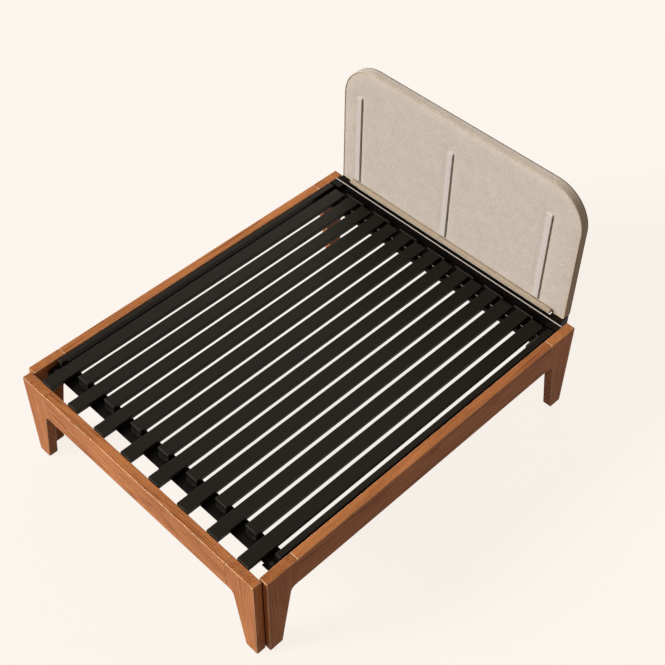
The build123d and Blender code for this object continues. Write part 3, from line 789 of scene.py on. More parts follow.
@dataclass(frozen=True)
class LayeredBoard:
    """Plywood, with its plies across its thickness and its face grain along X.

    Args:
        name: The material's name.
        light: The face veneer's light colour.
        dark: The plies' dark colour.
        ply: One ply's thickness.
    """

    name: str
    light: Tone = Tone(214, 184, 142)
    dark: Tone = Tone(158, 120, 78)
    ply: float = 0.0024

    def build(self, groups: Groups) -> bpy.types.Material:
        """Makes the material from the shared board figure and stripes for the plies."""
        surface = Surface(self.name, Specular_IOR_Level=0.2)
        b = surface.bench
        figure = groups.board.place(
            b,
            Vector=surface.coordinates,
            Ring_Spacing=0.011,
            Light=self.light.linear(),
            Dark=self.dark.linear(),
        )
        _, depth, _ = b.split(surface.coordinates)
        layer = b.math("PINGPONG", depth, self.ply)
        stripe = b.spread(layer, self.ply * 0.45, self.ply * 0.55, 0.0, 0.3)
        surface.give(Base_Color=b.blend(stripe, figure["Colour"], self.dark.linear()), Roughness=0.62)
        surface.give(Normal=surface.raised(figure["Height"], 0.0003, 0.6))
        return surface.material


@dataclass(frozen=True)
class WovenCloth:
    """Upholstery cloth with a plain weave.

    Args:
        name: The material's name.
        light: The colour of the yarns that stand up.
        dark: The colour between them.
        pitch: From one yarn to the next.
        relief: How far the weave stands up, in metres.
        sheen: How strongly loose fibres catch the light.
        mottle: How strongly slow changes of tone show.
    """

    name: str
    light: Tone
    dark: Tone
    pitch: float = 0.0019
    relief: float = 0.0005
    sheen: float = 0.12
    mottle: float = 0.35

    def build(self, groups: Groups) -> bpy.types.Material:
        """Makes the material from the shared weave."""
        surface = Surface(
            self.name, Specular_IOR_Level=0.12, Sheen_Weight=self.sheen, Sheen_Roughness=0.5
        )
        b = surface.bench
        cloth = groups.weave.place(b, Vector=surface.coordinates, Pitch=self.pitch)
        flecks = b.spread(cloth["Yarn"], 0.36, 0.64)
        slow = b.math("MULTIPLY", b.math("SUBTRACT", cloth["Mottle"], 0.5), self.mottle)
        share = b.math("ADD", flecks, b.math("MULTIPLY", slow, 2.0))
        colour = b.blend(b.spread(share, -0.2, 1.2), self.dark.linear(), self.light.linear())
        surface.give(Base_Color=colour)
        surface.give(Roughness=b.math("MULTIPLY_ADD", cloth["Yarn"], 0.15, 0.8))
        surface.give(Normal=surface.raised(cloth["Height"], self.relief, 0.6))
        return surface.material


def dress(names: Iterable[str], material: bpy.types.Material) -> None:
    """Gives CAD nodes a material.

    Args:
        names: The nodes' names.
        material: The finish.
    """
    for name in names:
        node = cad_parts[name]
        if not node.material_slots:
            node.data.materials.append(material)
        for slot in node.material_slots:
            slot.material = material
        log.info("%s wears %s", name, material.name)


def stand(thing: bpy.types.Object) -> None:
    """Puts an object in the scene."""
    bpy.context.scene.collection.objects.link(thing)


def new_piece(name: str, mesh: bmesh.types.BMesh, material: bpy.types.Material) -> bpy.types.Object:
    """Turns a built mesh into an object that shades smoothly.

    Args:
        name: The piece's name.
        mesh: The built mesh, which is freed.
        material: The finish.

    Returns:
        The object, at the origin, unturned and unscaled.
    """
    bmesh.ops.recalc_face_normals(mesh, faces=mesh.faces)
    for face in mesh.faces:
        face.smooth = True
    data = bpy.data.meshes.new(name)
    mesh.to_mesh(data)
    mesh.free()
    data.materials.append(material)
    piece = bpy.data.objects.new(name, data)
    stand(piece)
    return piece


def settle(piece: bpy.types.Object) -> bpy.types.Object:
    """Makes what a piece's modifiers show its own mesh, and takes them off."""
    bpy.context.view_layer.update()
    graph = bpy.context.evaluated_depsgraph_get()
    shown = bpy.data.meshes.new_from_object(piece.evaluated_get(graph), depsgraph=graph)
    if piece.type == "MESH":
        piece.modifiers.clear()
        piece.data = shown
        return piece
    name = piece.name
    piece.name = name + "_path"
    made = bpy.data.objects.new(name, shown)
    stand(made)
    bpy.data.objects.remove(piece)
    return made


def soften(piece: bpy.types.Object) -> bpy.types.Object:
    """Rounds a piece by one step of subdivision, and keeps the result as its own mesh."""
    soft = piece.modifiers.new("soften", "SUBSURF")
    soft.levels = soft.render_levels = 1
    return settle(piece)


def loop_band(mesh: bmesh.types.BMesh, rings: Sequence[Sequence[bmesh.types.BMVert]]) -> None:
    """Skins closed rings of equal count, each to the next, with quads."""
    for lower, upper in zip(rings, rings[1:]):
        count = len(lower)
        for i in range(count):
            j = (i + 1) % count
            mesh.faces.new((lower[i], lower[j], upper[j], upper[i]))


def fan(mesh: bmesh.types.BMesh, ring: Sequence[bmesh.types.BMVert]) -> None:
    """Closes a ring with a fan of triangles to its middle."""
    middle = sum((v.co for v in ring), Vector()) / len(ring)
    tip = mesh.verts.new(middle)
    for i, vert in enumerate(ring):
        mesh.faces.new((vert, ring[(i + 1) % len(ring)], tip))


def closed_tube(mesh: bmesh.types.BMesh, rings: Sequence[Sequence[bmesh.types.BMVert]]) -> None:
    """Skins rings into a tube and closes both of its ends."""
    loop_band(mesh, rings)
    fan(mesh, list(reversed(rings[0])))
    fan(mesh, rings[-1])


def grow(name: str, path: Sequence[Vector], tree: bpy.types.NodeTree, **inputs: object) -> bpy.types.Object:
    """Runs a geometry tree on a closed path and keeps its result as a plain mesh.

    Args:
        name: The piece's name.
        path: The points of the path.
        tree: The geometry tree.
        inputs: The tree's input values, by name with underscores for spaces.

    Returns:
        The piece, with no modifier left on it.
    """
    curve = bpy.data.curves.new(name, "CURVE")
    curve.dimensions = "3D"
    spline = curve.splines.new("POLY")
    spline.points.add(len(path) - 1)
    for point, place in zip(spline.points, path):
        point.co = (*place, 1.0)
    spline.use_cyclic_u = True
    piece = bpy.data.objects.new(name, curve)
    modifier = piece.modifiers.new(name, "NODES")
    modifier.node_group = tree
    sockets = {s.name: s.identifier for s in tree.interface.items_tree if s.in_out == "INPUT"}
    for label, value in inputs.items():
        modifier[sockets[label.replace("_", " ")]] = value
    stand(piece)
    return settle(piece)


@dataclass(frozen=True)
class Inflation:
    """A cloth simulation that swells a pad by a little air inside it.

    Args:
        pressure: The air's pressure.
        cap: The furthest that a point may move, in metres.
        last_frame: The frame at which the cloth is taken.
    """

    pressure: float = 4.0
    cap: float = 0.003
    last_frame: int = 20

    def run(self, piece: bpy.types.Object, held: Callable[[Vector], bool]) -> None:
        """Swells a piece and keeps the swollen mesh.

        Args:
            piece: The pad, as a closed mesh.
            held: Says of a point whether a seam or a board holds it.
        """
        pins = piece.vertex_groups.new(name="held")
        pins.add([v.index for v in piece.data.vertices if held(v.co)], 1.0, "REPLACE")
        cloth = piece.modifiers.new("swell", "CLOTH")
        settings = cloth.settings
        settings.vertex_group_mass = pins.name
        settings.use_pressure = True
        settings.uniform_pressure_force = self.pressure
        settings.effector_weights.gravity = 0.0
        settings.quality = 6
        cloth.point_cache.frame_start = 1
        cloth.point_cache.frame_end = self.last_frame
        scene = bpy.context.scene
        for number in range(1, self.last_frame + 1):
            scene.frame_set(number)
        swollen = piece.evaluated_get(bpy.context.evaluated_depsgraph_get()).data
        places = [v.co.copy() for v in swollen.vertices]
        piece.modifiers.remove(cloth)
        furthest = 0.0
        for vert, place in zip(piece.data.vertices, places):
            step = place - vert.co
            furthest = max(furthest, step.length)
            if step.length > self.cap:
                step.length = self.cap
            vert.co += step
        piece.vertex_groups.remove(pins)
        piece.data.update()
        scene.frame_set(1)
        log.info("%s swelled by up to %.1f mm before its cap", piece.name, furthest * 1000)


@dataclass(frozen=True)
class PanelOutline:
    """The headboard seen from the front: a rectangle with large top corners and small feet.

    Args:
        half: Half of the width.
        bottom: The height of the lower edge.
        top: The height of the upper edge.
        top_radius: The top corners' radius.
        foot_radius: The lower corners' radius.
        step: About how far apart its points are.
    """

    half: float
    bottom: float
    top: float
    top_radius: float = 0.150
    foot_radius: float = 0.008
    step: float = 0.010

    def ring(self, inset: float, y: float) -> list[Vector]:
        """The outline moved inwards, with the same count of points at each inset.

        Args:
            inset: How far in from the outline.
            y: Where along the depth the ring lies.

        Returns:
            The points, counter-clockwise seen from the front.
        """
        half, low, high = self.half - inset, self.bottom + inset, self.top - inset
        wide = self.top_radius - inset
        small = max(self.foot_radius - inset, 0.0008)
        corners = [
            ((half - small, low + small), small, -90.0, 4),
            ((half - wide, high - wide), wide, 0.0, 24),
            ((-half + wide, high - wide), wide, 90.0, 24),
            ((-half + small, low + small), small, 180.0, 4),
        ]
        runs = [
            round((self.top - self.bottom - self.top_radius) / self.step),
            round((self.half - self.top_radius) * 2 / self.step),
            round((self.top - self.bottom - self.top_radius) / self.step),
            round(self.half * 2 / self.step),
        ]
        arcs = []
        for (x, z), radius, start, count in corners:
            turns = [math.radians(start + 90.0 * i / count) for i in range(count + 1)]
            arcs.append([Vector((x + radius * math.cos(t), y, z + radius * math.sin(t))) for t in turns])
        points = []
        for arc, following, count in zip(arcs, arcs[1:] + arcs[:1], runs):
            points += arc
            points += [arc[-1].lerp(following[0], i / count) for i in range(1, count)]
        return points

    def depth(self, x: float, z: float) -> float:
        """How far a point lies inside the outline."""
        past_x, past_z = abs(x) - (self.half - self.top_radius), z - (self.top - self.top_radius)
        if past_x > 0 and past_z > 0:
            return self.top_radius - math.hypot(past_x, past_z)
        return min(self.half - abs(x), self.top - z, z - self.bottom)


def fill_ring(
    mesh: bmesh.types.BMesh,
    ring: Sequence[bmesh.types.BMVert],
    columns: Sequence[float],
    rows: Sequence[float],
    inside: Callable[[float, float], bool],
    y_at: Callable[[float, float], float],
) -> None:
    """Fills a ring that faces along Y with even triangles.

    Args:
        mesh: The mesh being built.
        ring: The ring's corners, in order.
        columns: The x of each column of points to use.
        rows: The z of each row of points to use.
        inside: Says whether a point is far enough inside the ring.
        y_at: The y of the filled surface at an x and z.
    """
    corners = list(ring)
    for x in columns:
        for z in rows:
            if inside(x, z):
                corners.append(mesh.verts.new((x, y_at(x, z), z)))
    flat = [Vector((v.co.x, v.co.z)) for v in corners]
    border = [(i, (i + 1) % len(ring)) for i in range(len(ring))]
    _, _, faces, origins, _, _ = delaunay_2d_cdt(flat, border, [], 1, 1e-6)
    for face in faces:
        mesh.faces.new([corners[origins[i][0]] for i in face])


def spaced(low: float, high: float, step: float) -> list[float]:
    """Even numbers from low to high, both included, about a step apart."""
    count = max(1, round((high - low) / step))
    return [low + (high - low) * i / count for i in range(count + 1)]


@dataclass
class Headboard:
    """The upholstered panel: padded front, welt, three raised ribbons, a roll at its foot and a lining.

    Args:
        groups: The shared shader groups.
        seam_set: How far the front's seam lies behind the front plane.
        welt_radius: The radius of the piping round the front.
        welt_inset: How far in from the outline the piping's middle runs.
        stitch_inset: How far in from the outline the stitches run.
        stitch_pitch: From one stitch to the next.
        staple_inset: How far in from the outline the lining's staples run.
        staple_pitch: From one staple to the next.
        ribbon_edges: The x of each ribbon's left and right edge.
        ribbon_low: The height of the ribbons' lower ends.
        ribbon_high: The height of the ribbons' upper ends.
        ribbon_thin: How far a ribbon stands up at its left edge.
        ribbon_proud: How far a ribbon stands up at its right edge.
    """

    groups: Groups
    seam_set: float = 0.0026
    welt_radius: float = 0.0021
    welt_inset: float = 0.0026
    stitch_inset: float = 0.0085
    stitch_pitch: float = 0.0065
    staple_inset: float = 0.016
    staple_pitch: float = 0.048
    ribbon_edges: tuple[tuple[float, float], ...] = ((-0.484, -0.458), (-0.039, -0.013), (0.406, 0.432))
    ribbon_low: float = 0.432
    ribbon_high: float = 0.832
    ribbon_thin: float = 0.0015
    ribbon_proud: float = 0.006

    def __post_init__(self) -> None:
        """Reads the panel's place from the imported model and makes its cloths."""
        low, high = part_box("headboard_cover")
        self.front, self.back = low[1], high[1]
        self.outline = PanelOutline(half=high[0], bottom=low[2], top=high[2])
        self.panel_cloth = self.cloth("panel_cloth", Tone(224, 215, 206), Tone(196, 187, 177))
        self.welt_cloth = self.cloth(
            "welt_cloth", Tone(222, 206, 184), Tone(188, 170, 146), pitch=0.0012, relief=0.0003, mottle=0.15
        )
        self.roll_cloth = self.cloth("roll_cloth", Tone(196, 180, 158), Tone(166, 150, 130))
        smooth = {"pitch": 0.0011, "relief": 0.0002, "sheen": 0.3, "mottle": 0.1}
        self.ribbon_cloth = self.cloth("ribbon_cloth", Tone(220, 214, 210), Tone(200, 194, 190), **smooth)
        self.lining_cloth = self.cloth(
            "lining_cloth", Tone(74, 66, 58), Tone(50, 44, 38), pitch=0.0014, relief=0.0003, mottle=0.2
        )
        self.thread = self.cloth(
            "stitch_thread", Tone(220, 208, 190), Tone(188, 174, 152), pitch=0.0006, relief=0.0001
        )
        self.staple_steel = PlatedSteel("staple_steel").build(self.groups)

    def cloth(self, name: str, light: Tone, dark: Tone, **weave: float) -> bpy.types.Material:
        """A woven cloth in two tones, with any of its weave's measures changed."""
        return WovenCloth(name, light, dark, **weave).build(self.groups)

    def ribbon_gap(self, x: float, z: float) -> float:
        """How far a point of the front lies from the nearest ribbon, and 0 under one."""
        gaps = []
        for left, right in self.ribbon_edges:
            beside = max(left - x, x - right, 0.0)
            beyond = max(self.ribbon_low - z, z - self.ribbon_high, 0.0)
            gaps.append(math.hypot(beside, beyond))
        return min(gaps)

    def pad_y(self, x: float, z: float) -> float:
        """The y of the padded front, which the welt's seam and the ribbons pull in."""
        by_seam = 1.0 - math.exp(-max(self.outline.depth(x, z) - 0.006, 0.0) / 0.012)
        by_ribbon = 1.0 - 0.75 * math.exp(-self.ribbon_gap(x, z) / 0.010)
        ripple = noise.noise(Vector((x * 14.0, 3.0, z * 14.0))) * 0.00022
        return self.front + self.seam_set - (self.seam_set - 0.0004) * by_seam * by_ribbon + ripple * by_seam

    def cover(self) -> bpy.types.Object:
        """The cloth over the panel's front, sides and back edge.

        Returns:
            The padded piece.
        """
        mesh = bmesh.new()
        back, front = self.back, self.front
        turned_in = [(0.014, 0.0004), (0.0035, 0.0002), (0.0012, 0.0007), (0.0002, 0.002), (0.0, 0.005)]
        side = [(0.0003, 0.011), (0.0004, 0.018), (0.0003, 0.024)]
        seam = [(0.0, 0.0065), (0.0004, 0.0046), (0.0022, 0.0040), (0.0048, 0.0034), (0.0062, self.seam_set)]
        profile = [(inset, back - gap) for inset, gap in turned_in + side]
        profile += [(inset, front + gap) for inset, gap in seam]
        rings = [[mesh.verts.new(p) for p in self.outline.ring(inset, y)] for inset, y in profile]
        for inset in (0.0085, 0.0115, 0.0155, 0.021, 0.028):
            ring = [Vector((p.x, self.pad_y(p.x, p.z), p.z)) for p in self.outline.ring(inset, front)]
            rings.append([mesh.verts.new(p) for p in ring])
        loop_band(mesh, rings)
        step = self.outline.step
        edges = [-self.outline.half] + [x for pair in self.ribbon_edges for x in pair] + [self.outline.half]
        columns = sorted({round(x, 6) for a, b in zip(edges, edges[1:]) for x in spaced(a, b, step)})
        levels = [self.outline.bottom, self.ribbon_low, self.ribbon_high, self.outline.top]
        rows = sorted({round(z, 6) for a, b in zip(levels, levels[1:]) for z in spaced(a, b, step)})
        fill_ring(mesh, rings[-1], columns, rows, self.deeper_than(0.034), self.pad_y)
        wide = spaced(-self.outline.half, self.outline.half, 0.04)
        tall = spaced(self.outline.bottom, self.outline.top, 0.04)
        level = back - turned_in[0][1]
        fill_ring(mesh, rings[0], wide, tall, self.deeper_than(0.03), lambda x, z: level)
        piece = new_piece("headboard_cloth", mesh, self.panel_cloth)
        Inflation(cap=0.0012).run(piece, self.held)
        return soften(piece)

    def deeper_than(self, least: float) -> Callable[[float, float], bool]:
        """A test of whether a point lies more than a distance inside the outline."""
        return lambda x, z: self.outline.depth(x, z) > least

    def held(self, place: Vector) -> bool:
        """Whether the seam, a ribbon or the board holds a point of the cover."""
        off_front = place.y > self.front + self.seam_set + 0.0004
        by_seam = self.outline.depth(place.x, place.z) < 0.008
        return off_front or by_seam or self.ribbon_gap(place.x, place.z) < 0.0005

    def on_front(self, cover: bpy.types.Object, path: Sequence[Vector], lift: float) -> list[Vector]:
        """Lays a path on the padded front.

        Args:
            cover: The finished cover.
            path: The path's points.
            lift: How far the path stands off the cloth.

        Returns:
            The points on the cloth.
        """
        tree = BVHTree.FromPolygons(
            [v.co for v in cover.data.vertices], [tuple(p.vertices) for p in cover.data.polygons]
        )
        laid = []
        for point in path:
            hit, _, _, _ = tree.ray_cast(Vector((point.x, self.front - 0.05, point.z)), Vector((0, 1, 0)))
            laid.append(Vector((point.x, hit.y - lift, point.z)))
        return laid

    def welt(self) -> bpy.types.Object:
        """The piping in the seam round the front.

        Returns:
            The swept cord as a mesh.
        """
        path = self.outline.ring(self.welt_inset, self.front + 0.0026)
        return grow(
            "headboard_welt",
            path,
            self.groups.cord.tree,
            Radius=self.welt_radius,
            Step=0.006,
            Finish=self.welt_cloth,
        )

    def stitches(self, cover: bpy.types.Object) -> bpy.types.Object:
        """The line of stitches inside the welt.

        Args:
            cover: The finished cover.

        Returns:
            The stitches as one mesh.
        """
        mesh = bmesh.new()
        rings = []
        thread_radius, half_stitch, end_dip = 0.00038, 0.0021, 0.00028
        turns = [math.tau * i / 6 for i in range(6)]
        for along, size in ((-1.0, 0.25), (-0.75, 0.8), (0.0, 1.0), (0.75, 0.8), (1.0, 0.25)):
            dip, radius, z = end_dip * along * along, size * thread_radius, along * half_stitch
            ring = [(radius * math.cos(t) - dip, radius * math.sin(t), z) for t in turns]
            rings.append([mesh.verts.new(p) for p in ring])
        closed_tube(mesh, rings)
        small = new_piece("one_stitch", mesh, self.thread)
        path = self.on_front(cover, self.outline.ring(self.stitch_inset, self.front), 0.00012)
        row = grow(
            "headboard_stitches",
            path,
            self.groups.row.tree,
            Small_Piece=small,
            Spacing=self.stitch_pitch,
            Finish=self.thread,
        )
        bpy.data.objects.remove(small)
        return row

    def ribbons(self) -> bpy.types.Object:
        """The three upright ribbons, thin at the left and proud at the right.

        Returns:
            The ribbons as one padded piece.
        """
        mesh = bmesh.new()
        foot = self.front + self.seam_set + 0.0006
        for number, (left, right) in enumerate(self.ribbon_edges):
            wide = right - left
            front, proud_by = self.front, self.ribbon_proud
            rise = proud_by - self.ribbon_thin
            section = [(0.0, foot), (0.0, front - self.ribbon_thin * 0.55)]
            for share in (0.03, 0.10, 0.28, 0.46, 0.64, 0.80, 0.90):
                bulge = 0.0006 * math.sin(math.pi * share)
                section.append((share * wide, front - self.ribbon_thin - rise * share - bulge))
            section += [(0.955 * wide, front - proud_by), (0.988 * wide, front - proud_by * 0.93)]
            section += [(wide, front - proud_by * 0.8), (wide, front - 0.002), (wide, foot)]
            taper = [(0.0, 0.25), (0.0006, 0.72), (0.002, 0.95)]
            ends = [(self.ribbon_low + z, share) for z, share in taper]
            middle = [(z, 1.0) for z in spaced(self.ribbon_low + 0.005, self.ribbon_high - 0.005, 0.009)]
            tips = [(self.ribbon_high - z, share) for z, share in reversed(taper)]
            rings = []
            for z, share in ends + middle + tips:
                ripple = noise.noise(Vector((number * 7.0, 1.0, z * 32.0))) * 0.0003
                ring = []
                for x, y in section:
                    lift = max(foot - y, 0.0) * share
                    proud = ripple if lift > 0.003 else 0.0
                    ring.append(mesh.verts.new((left + x, min(foot - lift + proud, foot), z)))
                rings.append(ring)
            closed_tube(mesh, rings)
        piece = new_piece("headboard_ribbons", mesh, self.ribbon_cloth)
        return soften(piece)

    def roll(self) -> bpy.types.Object:
        """The padded roll along the foot of the panel's front.

        Returns:
            The padded piece.
        """
        low, high = (Vector(corner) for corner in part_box("headboard_band"))
        middle, half = (low + high) / 2, (high - low) / 2
        mesh = bmesh.new()
        rings = []
        ends = [(0.0, 0.45), (0.0006, 0.72), (0.002, 0.88), (0.0045, 0.97)]
        stations = [(low.x + x, size) for x, size in ends]
        stations += [(x, 1.0) for x in spaced(low.x + 0.009, high.x - 0.009, 0.008)]
        stations += [(high.x - x, size) for x, size in reversed(ends)]
        around, squareness, slim, shift = 28, 0.55, 0.93, half.y * 0.06
        for x, size in stations:
            pleat = 1.0 + 0.02 * noise.noise(Vector((x * 60.0, 5.0, 2.0)))
            ring = []
            for i in range(around):
                turn = math.tau * i / around
                c, s = math.cos(turn), math.sin(turn)
                y = math.copysign(abs(c) ** squareness, c) * half.y * slim * size
                z = math.copysign(abs(s) ** squareness, s) * half.z * slim * size * pleat
                ring.append(mesh.verts.new((x, min(middle.y + y + shift, high.y), middle.z + z)))
            rings.append(ring)
        closed_tube(mesh, rings)
        piece = new_piece("headboard_roll", mesh, self.roll_cloth)
        Inflation(pressure=6.0, cap=0.0008).run(piece, lambda place: place.y > high.y - 0.003)
        return soften(piece)

    def lining(self) -> bpy.types.Object:
        """The dark lining that closes the back.

        Returns:
            The lining as a thin closed panel.
        """
        low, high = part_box("headboard_back")
        near, far = low[1], high[1] - 0.0006
        mesh = bmesh.new()
        profile = [(0.0016, near), (0.0011, near + 0.0006)]
        profile += [(0.0010, far - 0.0012), (0.0014, far - 0.0004), (0.0026, far)]
        rings = [[mesh.verts.new(p) for p in self.outline.ring(inset, y)] for inset, y in profile]
        loop_band(mesh, rings)

        def sag(x: float, z: float) -> float:
            """The lining's back, which dips a little between its staples."""
            inner = 1.0 - math.exp(-max(self.outline.depth(x, z) - 0.02, 0.0) / 0.05)
            return far - 0.0006 * inner * (0.6 + 0.4 * noise.noise(Vector((x * 9.0, 8.0, z * 9.0))))

        wide = spaced(-self.outline.half, self.outline.half, 0.014)
        tall = spaced(self.outline.bottom, self.outline.top, 0.014)
        fill_ring(mesh, rings[-1], wide, tall, self.deeper_than(0.012), sag)
        fill_ring(mesh, rings[0], wide[::4], tall[::4], self.deeper_than(0.03), lambda x, z: near)
        return new_piece("headboard_lining", mesh, self.lining_cloth)

    def staples(self) -> bpy.types.Object:
        """The staples that hold the lining.

        Returns:
            The staples as one mesh.
        """
        mesh = bmesh.new()
        wire, half, leg = 0.0003, 0.005, 0.0012
        path = [(-half, leg), (-half, wire), (wire - half, 0.0)]
        path += [(half - wire, 0.0), (half, wire), (half, leg)]
        rings = []
        for i, (along, dip) in enumerate(path):
            level = i in (2, 3)
            slope = (0.0, 1.0) if level else (math.copysign(1.0, along), 0.0)
            corners = [(-1.0, -1.0), (-1.0, 1.0), (1.0, 1.0), (1.0, -1.0)]
            ring = [
                (dip + b * wire * slope[1], a * wire * 1.3, along + b * wire * slope[0]) for a, b in corners
            ]
            rings.append([mesh.verts.new(p) for p in ring])
        closed_tube(mesh, rings)
        small = new_piece("one_staple", mesh, self.staple_steel)
        path_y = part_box("headboard_back")[1][1] - 0.0006
        row = grow(
            "lining_staples",
            self.outline.ring(self.staple_inset, path_y),
            self.groups.row.tree,
            Small_Piece=small,
            Spacing=self.staple_pitch,
            Uneven_Turn=0.12,
            Uneven_Size=0.02,
            Seed=11,
            Finish=self.staple_steel,
        )
        bpy.data.objects.remove(small)
        return row

    def build(self) -> list[bpy.types.Object]:
        """Builds the panel's cloth and trim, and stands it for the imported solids.

        Returns:
            The pieces.
        """
        cover = self.cover()
        welt = self.welt()
        stitches = self.stitches(cover)
        ribbons = self.ribbons()
        roll = self.roll()
        lining = self.lining()
        staples = self.staples()
        pieces = [cover, welt, stitches, ribbons, roll, lining, staples]
        for piece in pieces:
            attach(piece, "main_frame")
        stood_for = ((cover, "headboard_cover"), (ribbons, "headboard_strips"), (roll, "headboard_band"))
        for piece, node in stood_for:
            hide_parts(node)
        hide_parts("headboard_back")
        for piece in pieces:
            log.info("%s has %d faces", piece.name, len(piece.data.polygons))
        dress(["headboard_core"], LayeredBoard("core_plywood").build(self.groups))
        batten = OiledWood(
            "batten_pine",
            Grain.ACROSS,
            (0.0, 0.70, 0.60),
            (0.0, 0.6),
            light=Tone(222, 190, 142),
            dark=Tone(184, 142, 92),
            # Pale edge tone: worn edges with a painted highlight on them.
            worn=Tone(226, 200, 158),
        )
        dress(["headboard_battens"], batten.build(self.groups))
        return pieces


@dataclass
class WoodFrame:
    """The two side frames and the pull-out end, each a rail between two legs.

    Args:
        groups: The shared shader groups.
        quarter_set: How far a leg's pith lies beside the leg, so that its end grain curves.
        flat_set: How far a rail's pith lies behind its outer face.
    """

    groups: Groups
    quarter_set: float = 0.17
    flat_set: float = 0.085

    def leg(self, name: str, side: Point, lean: float) -> None:
        """Dresses a leg with upright grain.

        Args:
            name: The leg's node.
            side: The way from the leg to its log's pith.
            lean: How far the pith leans, in degrees.
        """
        low, high = (Vector(corner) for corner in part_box(name))
        heart = (low + high) / 2 + Vector(side) * self.quarter_set
        wood = OiledWood(name + "_wood", Grain.UPRIGHT, tuple(heart), (lean, lean * 0.6))
        dress([name], wood.build(self.groups))

    def rail(self, name: str, grain: Grain, behind: Point, lean: tuple[float, float]) -> None:
        """Dresses a rail with grain along it.

        Args:
            name: The rail's node.
            grain: The way that its grain runs.
            behind: The way from its outer face to its log's pith.
            lean: How far the pith leans, in degrees.
        """
        low, high = (Vector(corner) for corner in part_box(name))
        heart = (low + high) / 2 + Vector(behind) * self.flat_set
        dress([name], OiledWood(name + "_wood", grain, tuple(heart), lean).build(self.groups))

    def build(self) -> None:
        """Dresses the legs, the rails and their dowels."""
        self.leg("pull_out_left_leg", (1.0, 0.25, 0.0), 1.2)
        self.leg("pull_out_right_leg", (-1.0, 0.35, 0.0), -0.9)
        self.leg("left_front_leg", (-0.3, 1.0, 0.0), 0.8)
        self.leg("right_front_leg", (0.4, 1.0, 0.0), -1.1)
        self.leg("left_back_leg", (0.2, -1.0, 0.0), 1.0)
        self.leg("right_back_leg", (-0.3, -1.0, 0.0), -0.7)
        self.rail("pull_out_rail", Grain.ACROSS, (0.0, 0.9, -0.45), (1.6, 1.2))
        self.rail("left_side_rail", Grain.LENGTHWAYS, (-0.8, 0.0, -0.6), (0.9, 0.8))
        self.rail("right_side_rail", Grain.LENGTHWAYS, (-0.9, 0.0, 0.5), (-1.1, 1.0))
        dowel = OiledWood(
            "dowel_beech",
            Grain.ACROSS,
            (0.0, 0.02, 0.30),
            light=Tone(222, 184, 140),
            dark=Tone(188, 142, 98),
            # Pale edge tone: worn edges with a painted highlight on them.
            worn=Tone(226, 196, 156),
        ).build(self.groups)
        dress(["side_frame_dowels", "pull_out_dowels"], dowel)


@dataclass
class Steelwork:
    """The slats, tubes, beams, runners and posts, with their plastic parts and their screws.

    Args:
        groups: The shared shader groups.
    """

    groups: Groups

    def build(self) -> None:
        """Dresses each kind of part in its own finish."""
        slat_paint = PowderPaint("slat_paint").build(self.groups)
        frame_paint = PowderPaint(
            "frame_paint", colour=Tone(13, 12, 10), gloss=0.08, dullness=0.42
        ).build(self.groups)
        beam_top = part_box("head_beam")[1][2]
        # The beam's top 0.9 mm is painted as a pale highlight along its top edge.
        beam_paint = PowderPaint(
            "beam_paint", colour=Tone(15, 13, 11), gloss=0.1, edge_wear_and_highlight=0.2, lit_above=beam_top - 0.0009
        ).build(self.groups)
        slats = [f"fixed_slat_{i}" for i in range(1, 8)] + [f"pull_out_slat_{i}" for i in range(1, 9)]
        dress(slats + ["left_side_tube", "right_side_tube"], slat_paint)
        dress(["head_beam"], beam_paint)
        dress(["front_cross_bar", "bar_brackets", "corner_plates", "slat_ledger", "cross_tube"], frame_paint)
        dress(["left_runner_channel", "right_runner_channel", "runner_stops"], frame_paint)
        dress(["left_headboard_post", "right_headboard_post"], frame_paint)
        # Each moulding's second tone lightens its edges: partly scuff marks, partly a painted highlight.
        black = MouldedPlastic("black_moulding", Tone(12, 12, 10), Tone(96, 92, 86)).build(self.groups)
        dress(["fixed_slat_plugs", "pull_out_slat_plugs", "slat_holders", "slat_seats"], black)
        dress(["slat_glides", "cross_tube_spacers", "side_leg_pads", "pull_out_pads"], black)
        grey = MouldedPlastic("grey_runner_moulding", Tone(128, 128, 124), Tone(168, 166, 160), 0.35)
        dress(["runner_shoes"], grey.build(self.groups))
        blocks = OiledWood(
            "stained_block_wood",
            Grain.UPRIGHT,
            (0.3, 0.6, 0.3),
            light=Tone(34, 30, 26),
            dark=Tone(16, 14, 12),
            # Pale edge tone: worn edges with a painted highlight on them.
            worn=Tone(60, 54, 48),
        )
        dress(["post_blocks"], blocks.build(self.groups))
        plated = PlatedSteel("plated_screws").build(self.groups)
        dress(["fixed_slat_screws", "pull_out_screws"], plated)
        blackened = PlatedSteel("blackened_screws", colour=Tone(46, 44, 42), tarnish=Tone(24, 23, 22))
        dress(["wood_screws", "frame_bolts"], blackened.build(self.groups))


@dataclass(frozen=True)
class Lamp:
    """A soft distant lamp.

    Args:
        name: The lamp's name.
        towards: The way from the bed to the lamp.
        strength: Its strength, where 3.14 renders a facing colour as written.
        softness: How wide it looks, in degrees.
        colour: Its colour.
    """

    name: str
    towards: Point
    strength: float
    softness: float
    colour: tuple[float, float, float] = (1.0, 1.0, 1.0)

    def build(self) -> None:
        """Hangs the lamp."""
        light = bpy.data.lights.new(self.name, "SUN")
        light.energy = self.strength
        light.angle = math.radians(self.softness)
        light.color = self.colour
        lamp = bpy.data.objects.new(self.name, light)
        lamp.rotation_euler = Vector(self.towards).to_track_quat("Z", "Y").to_euler()
        stand(lamp)


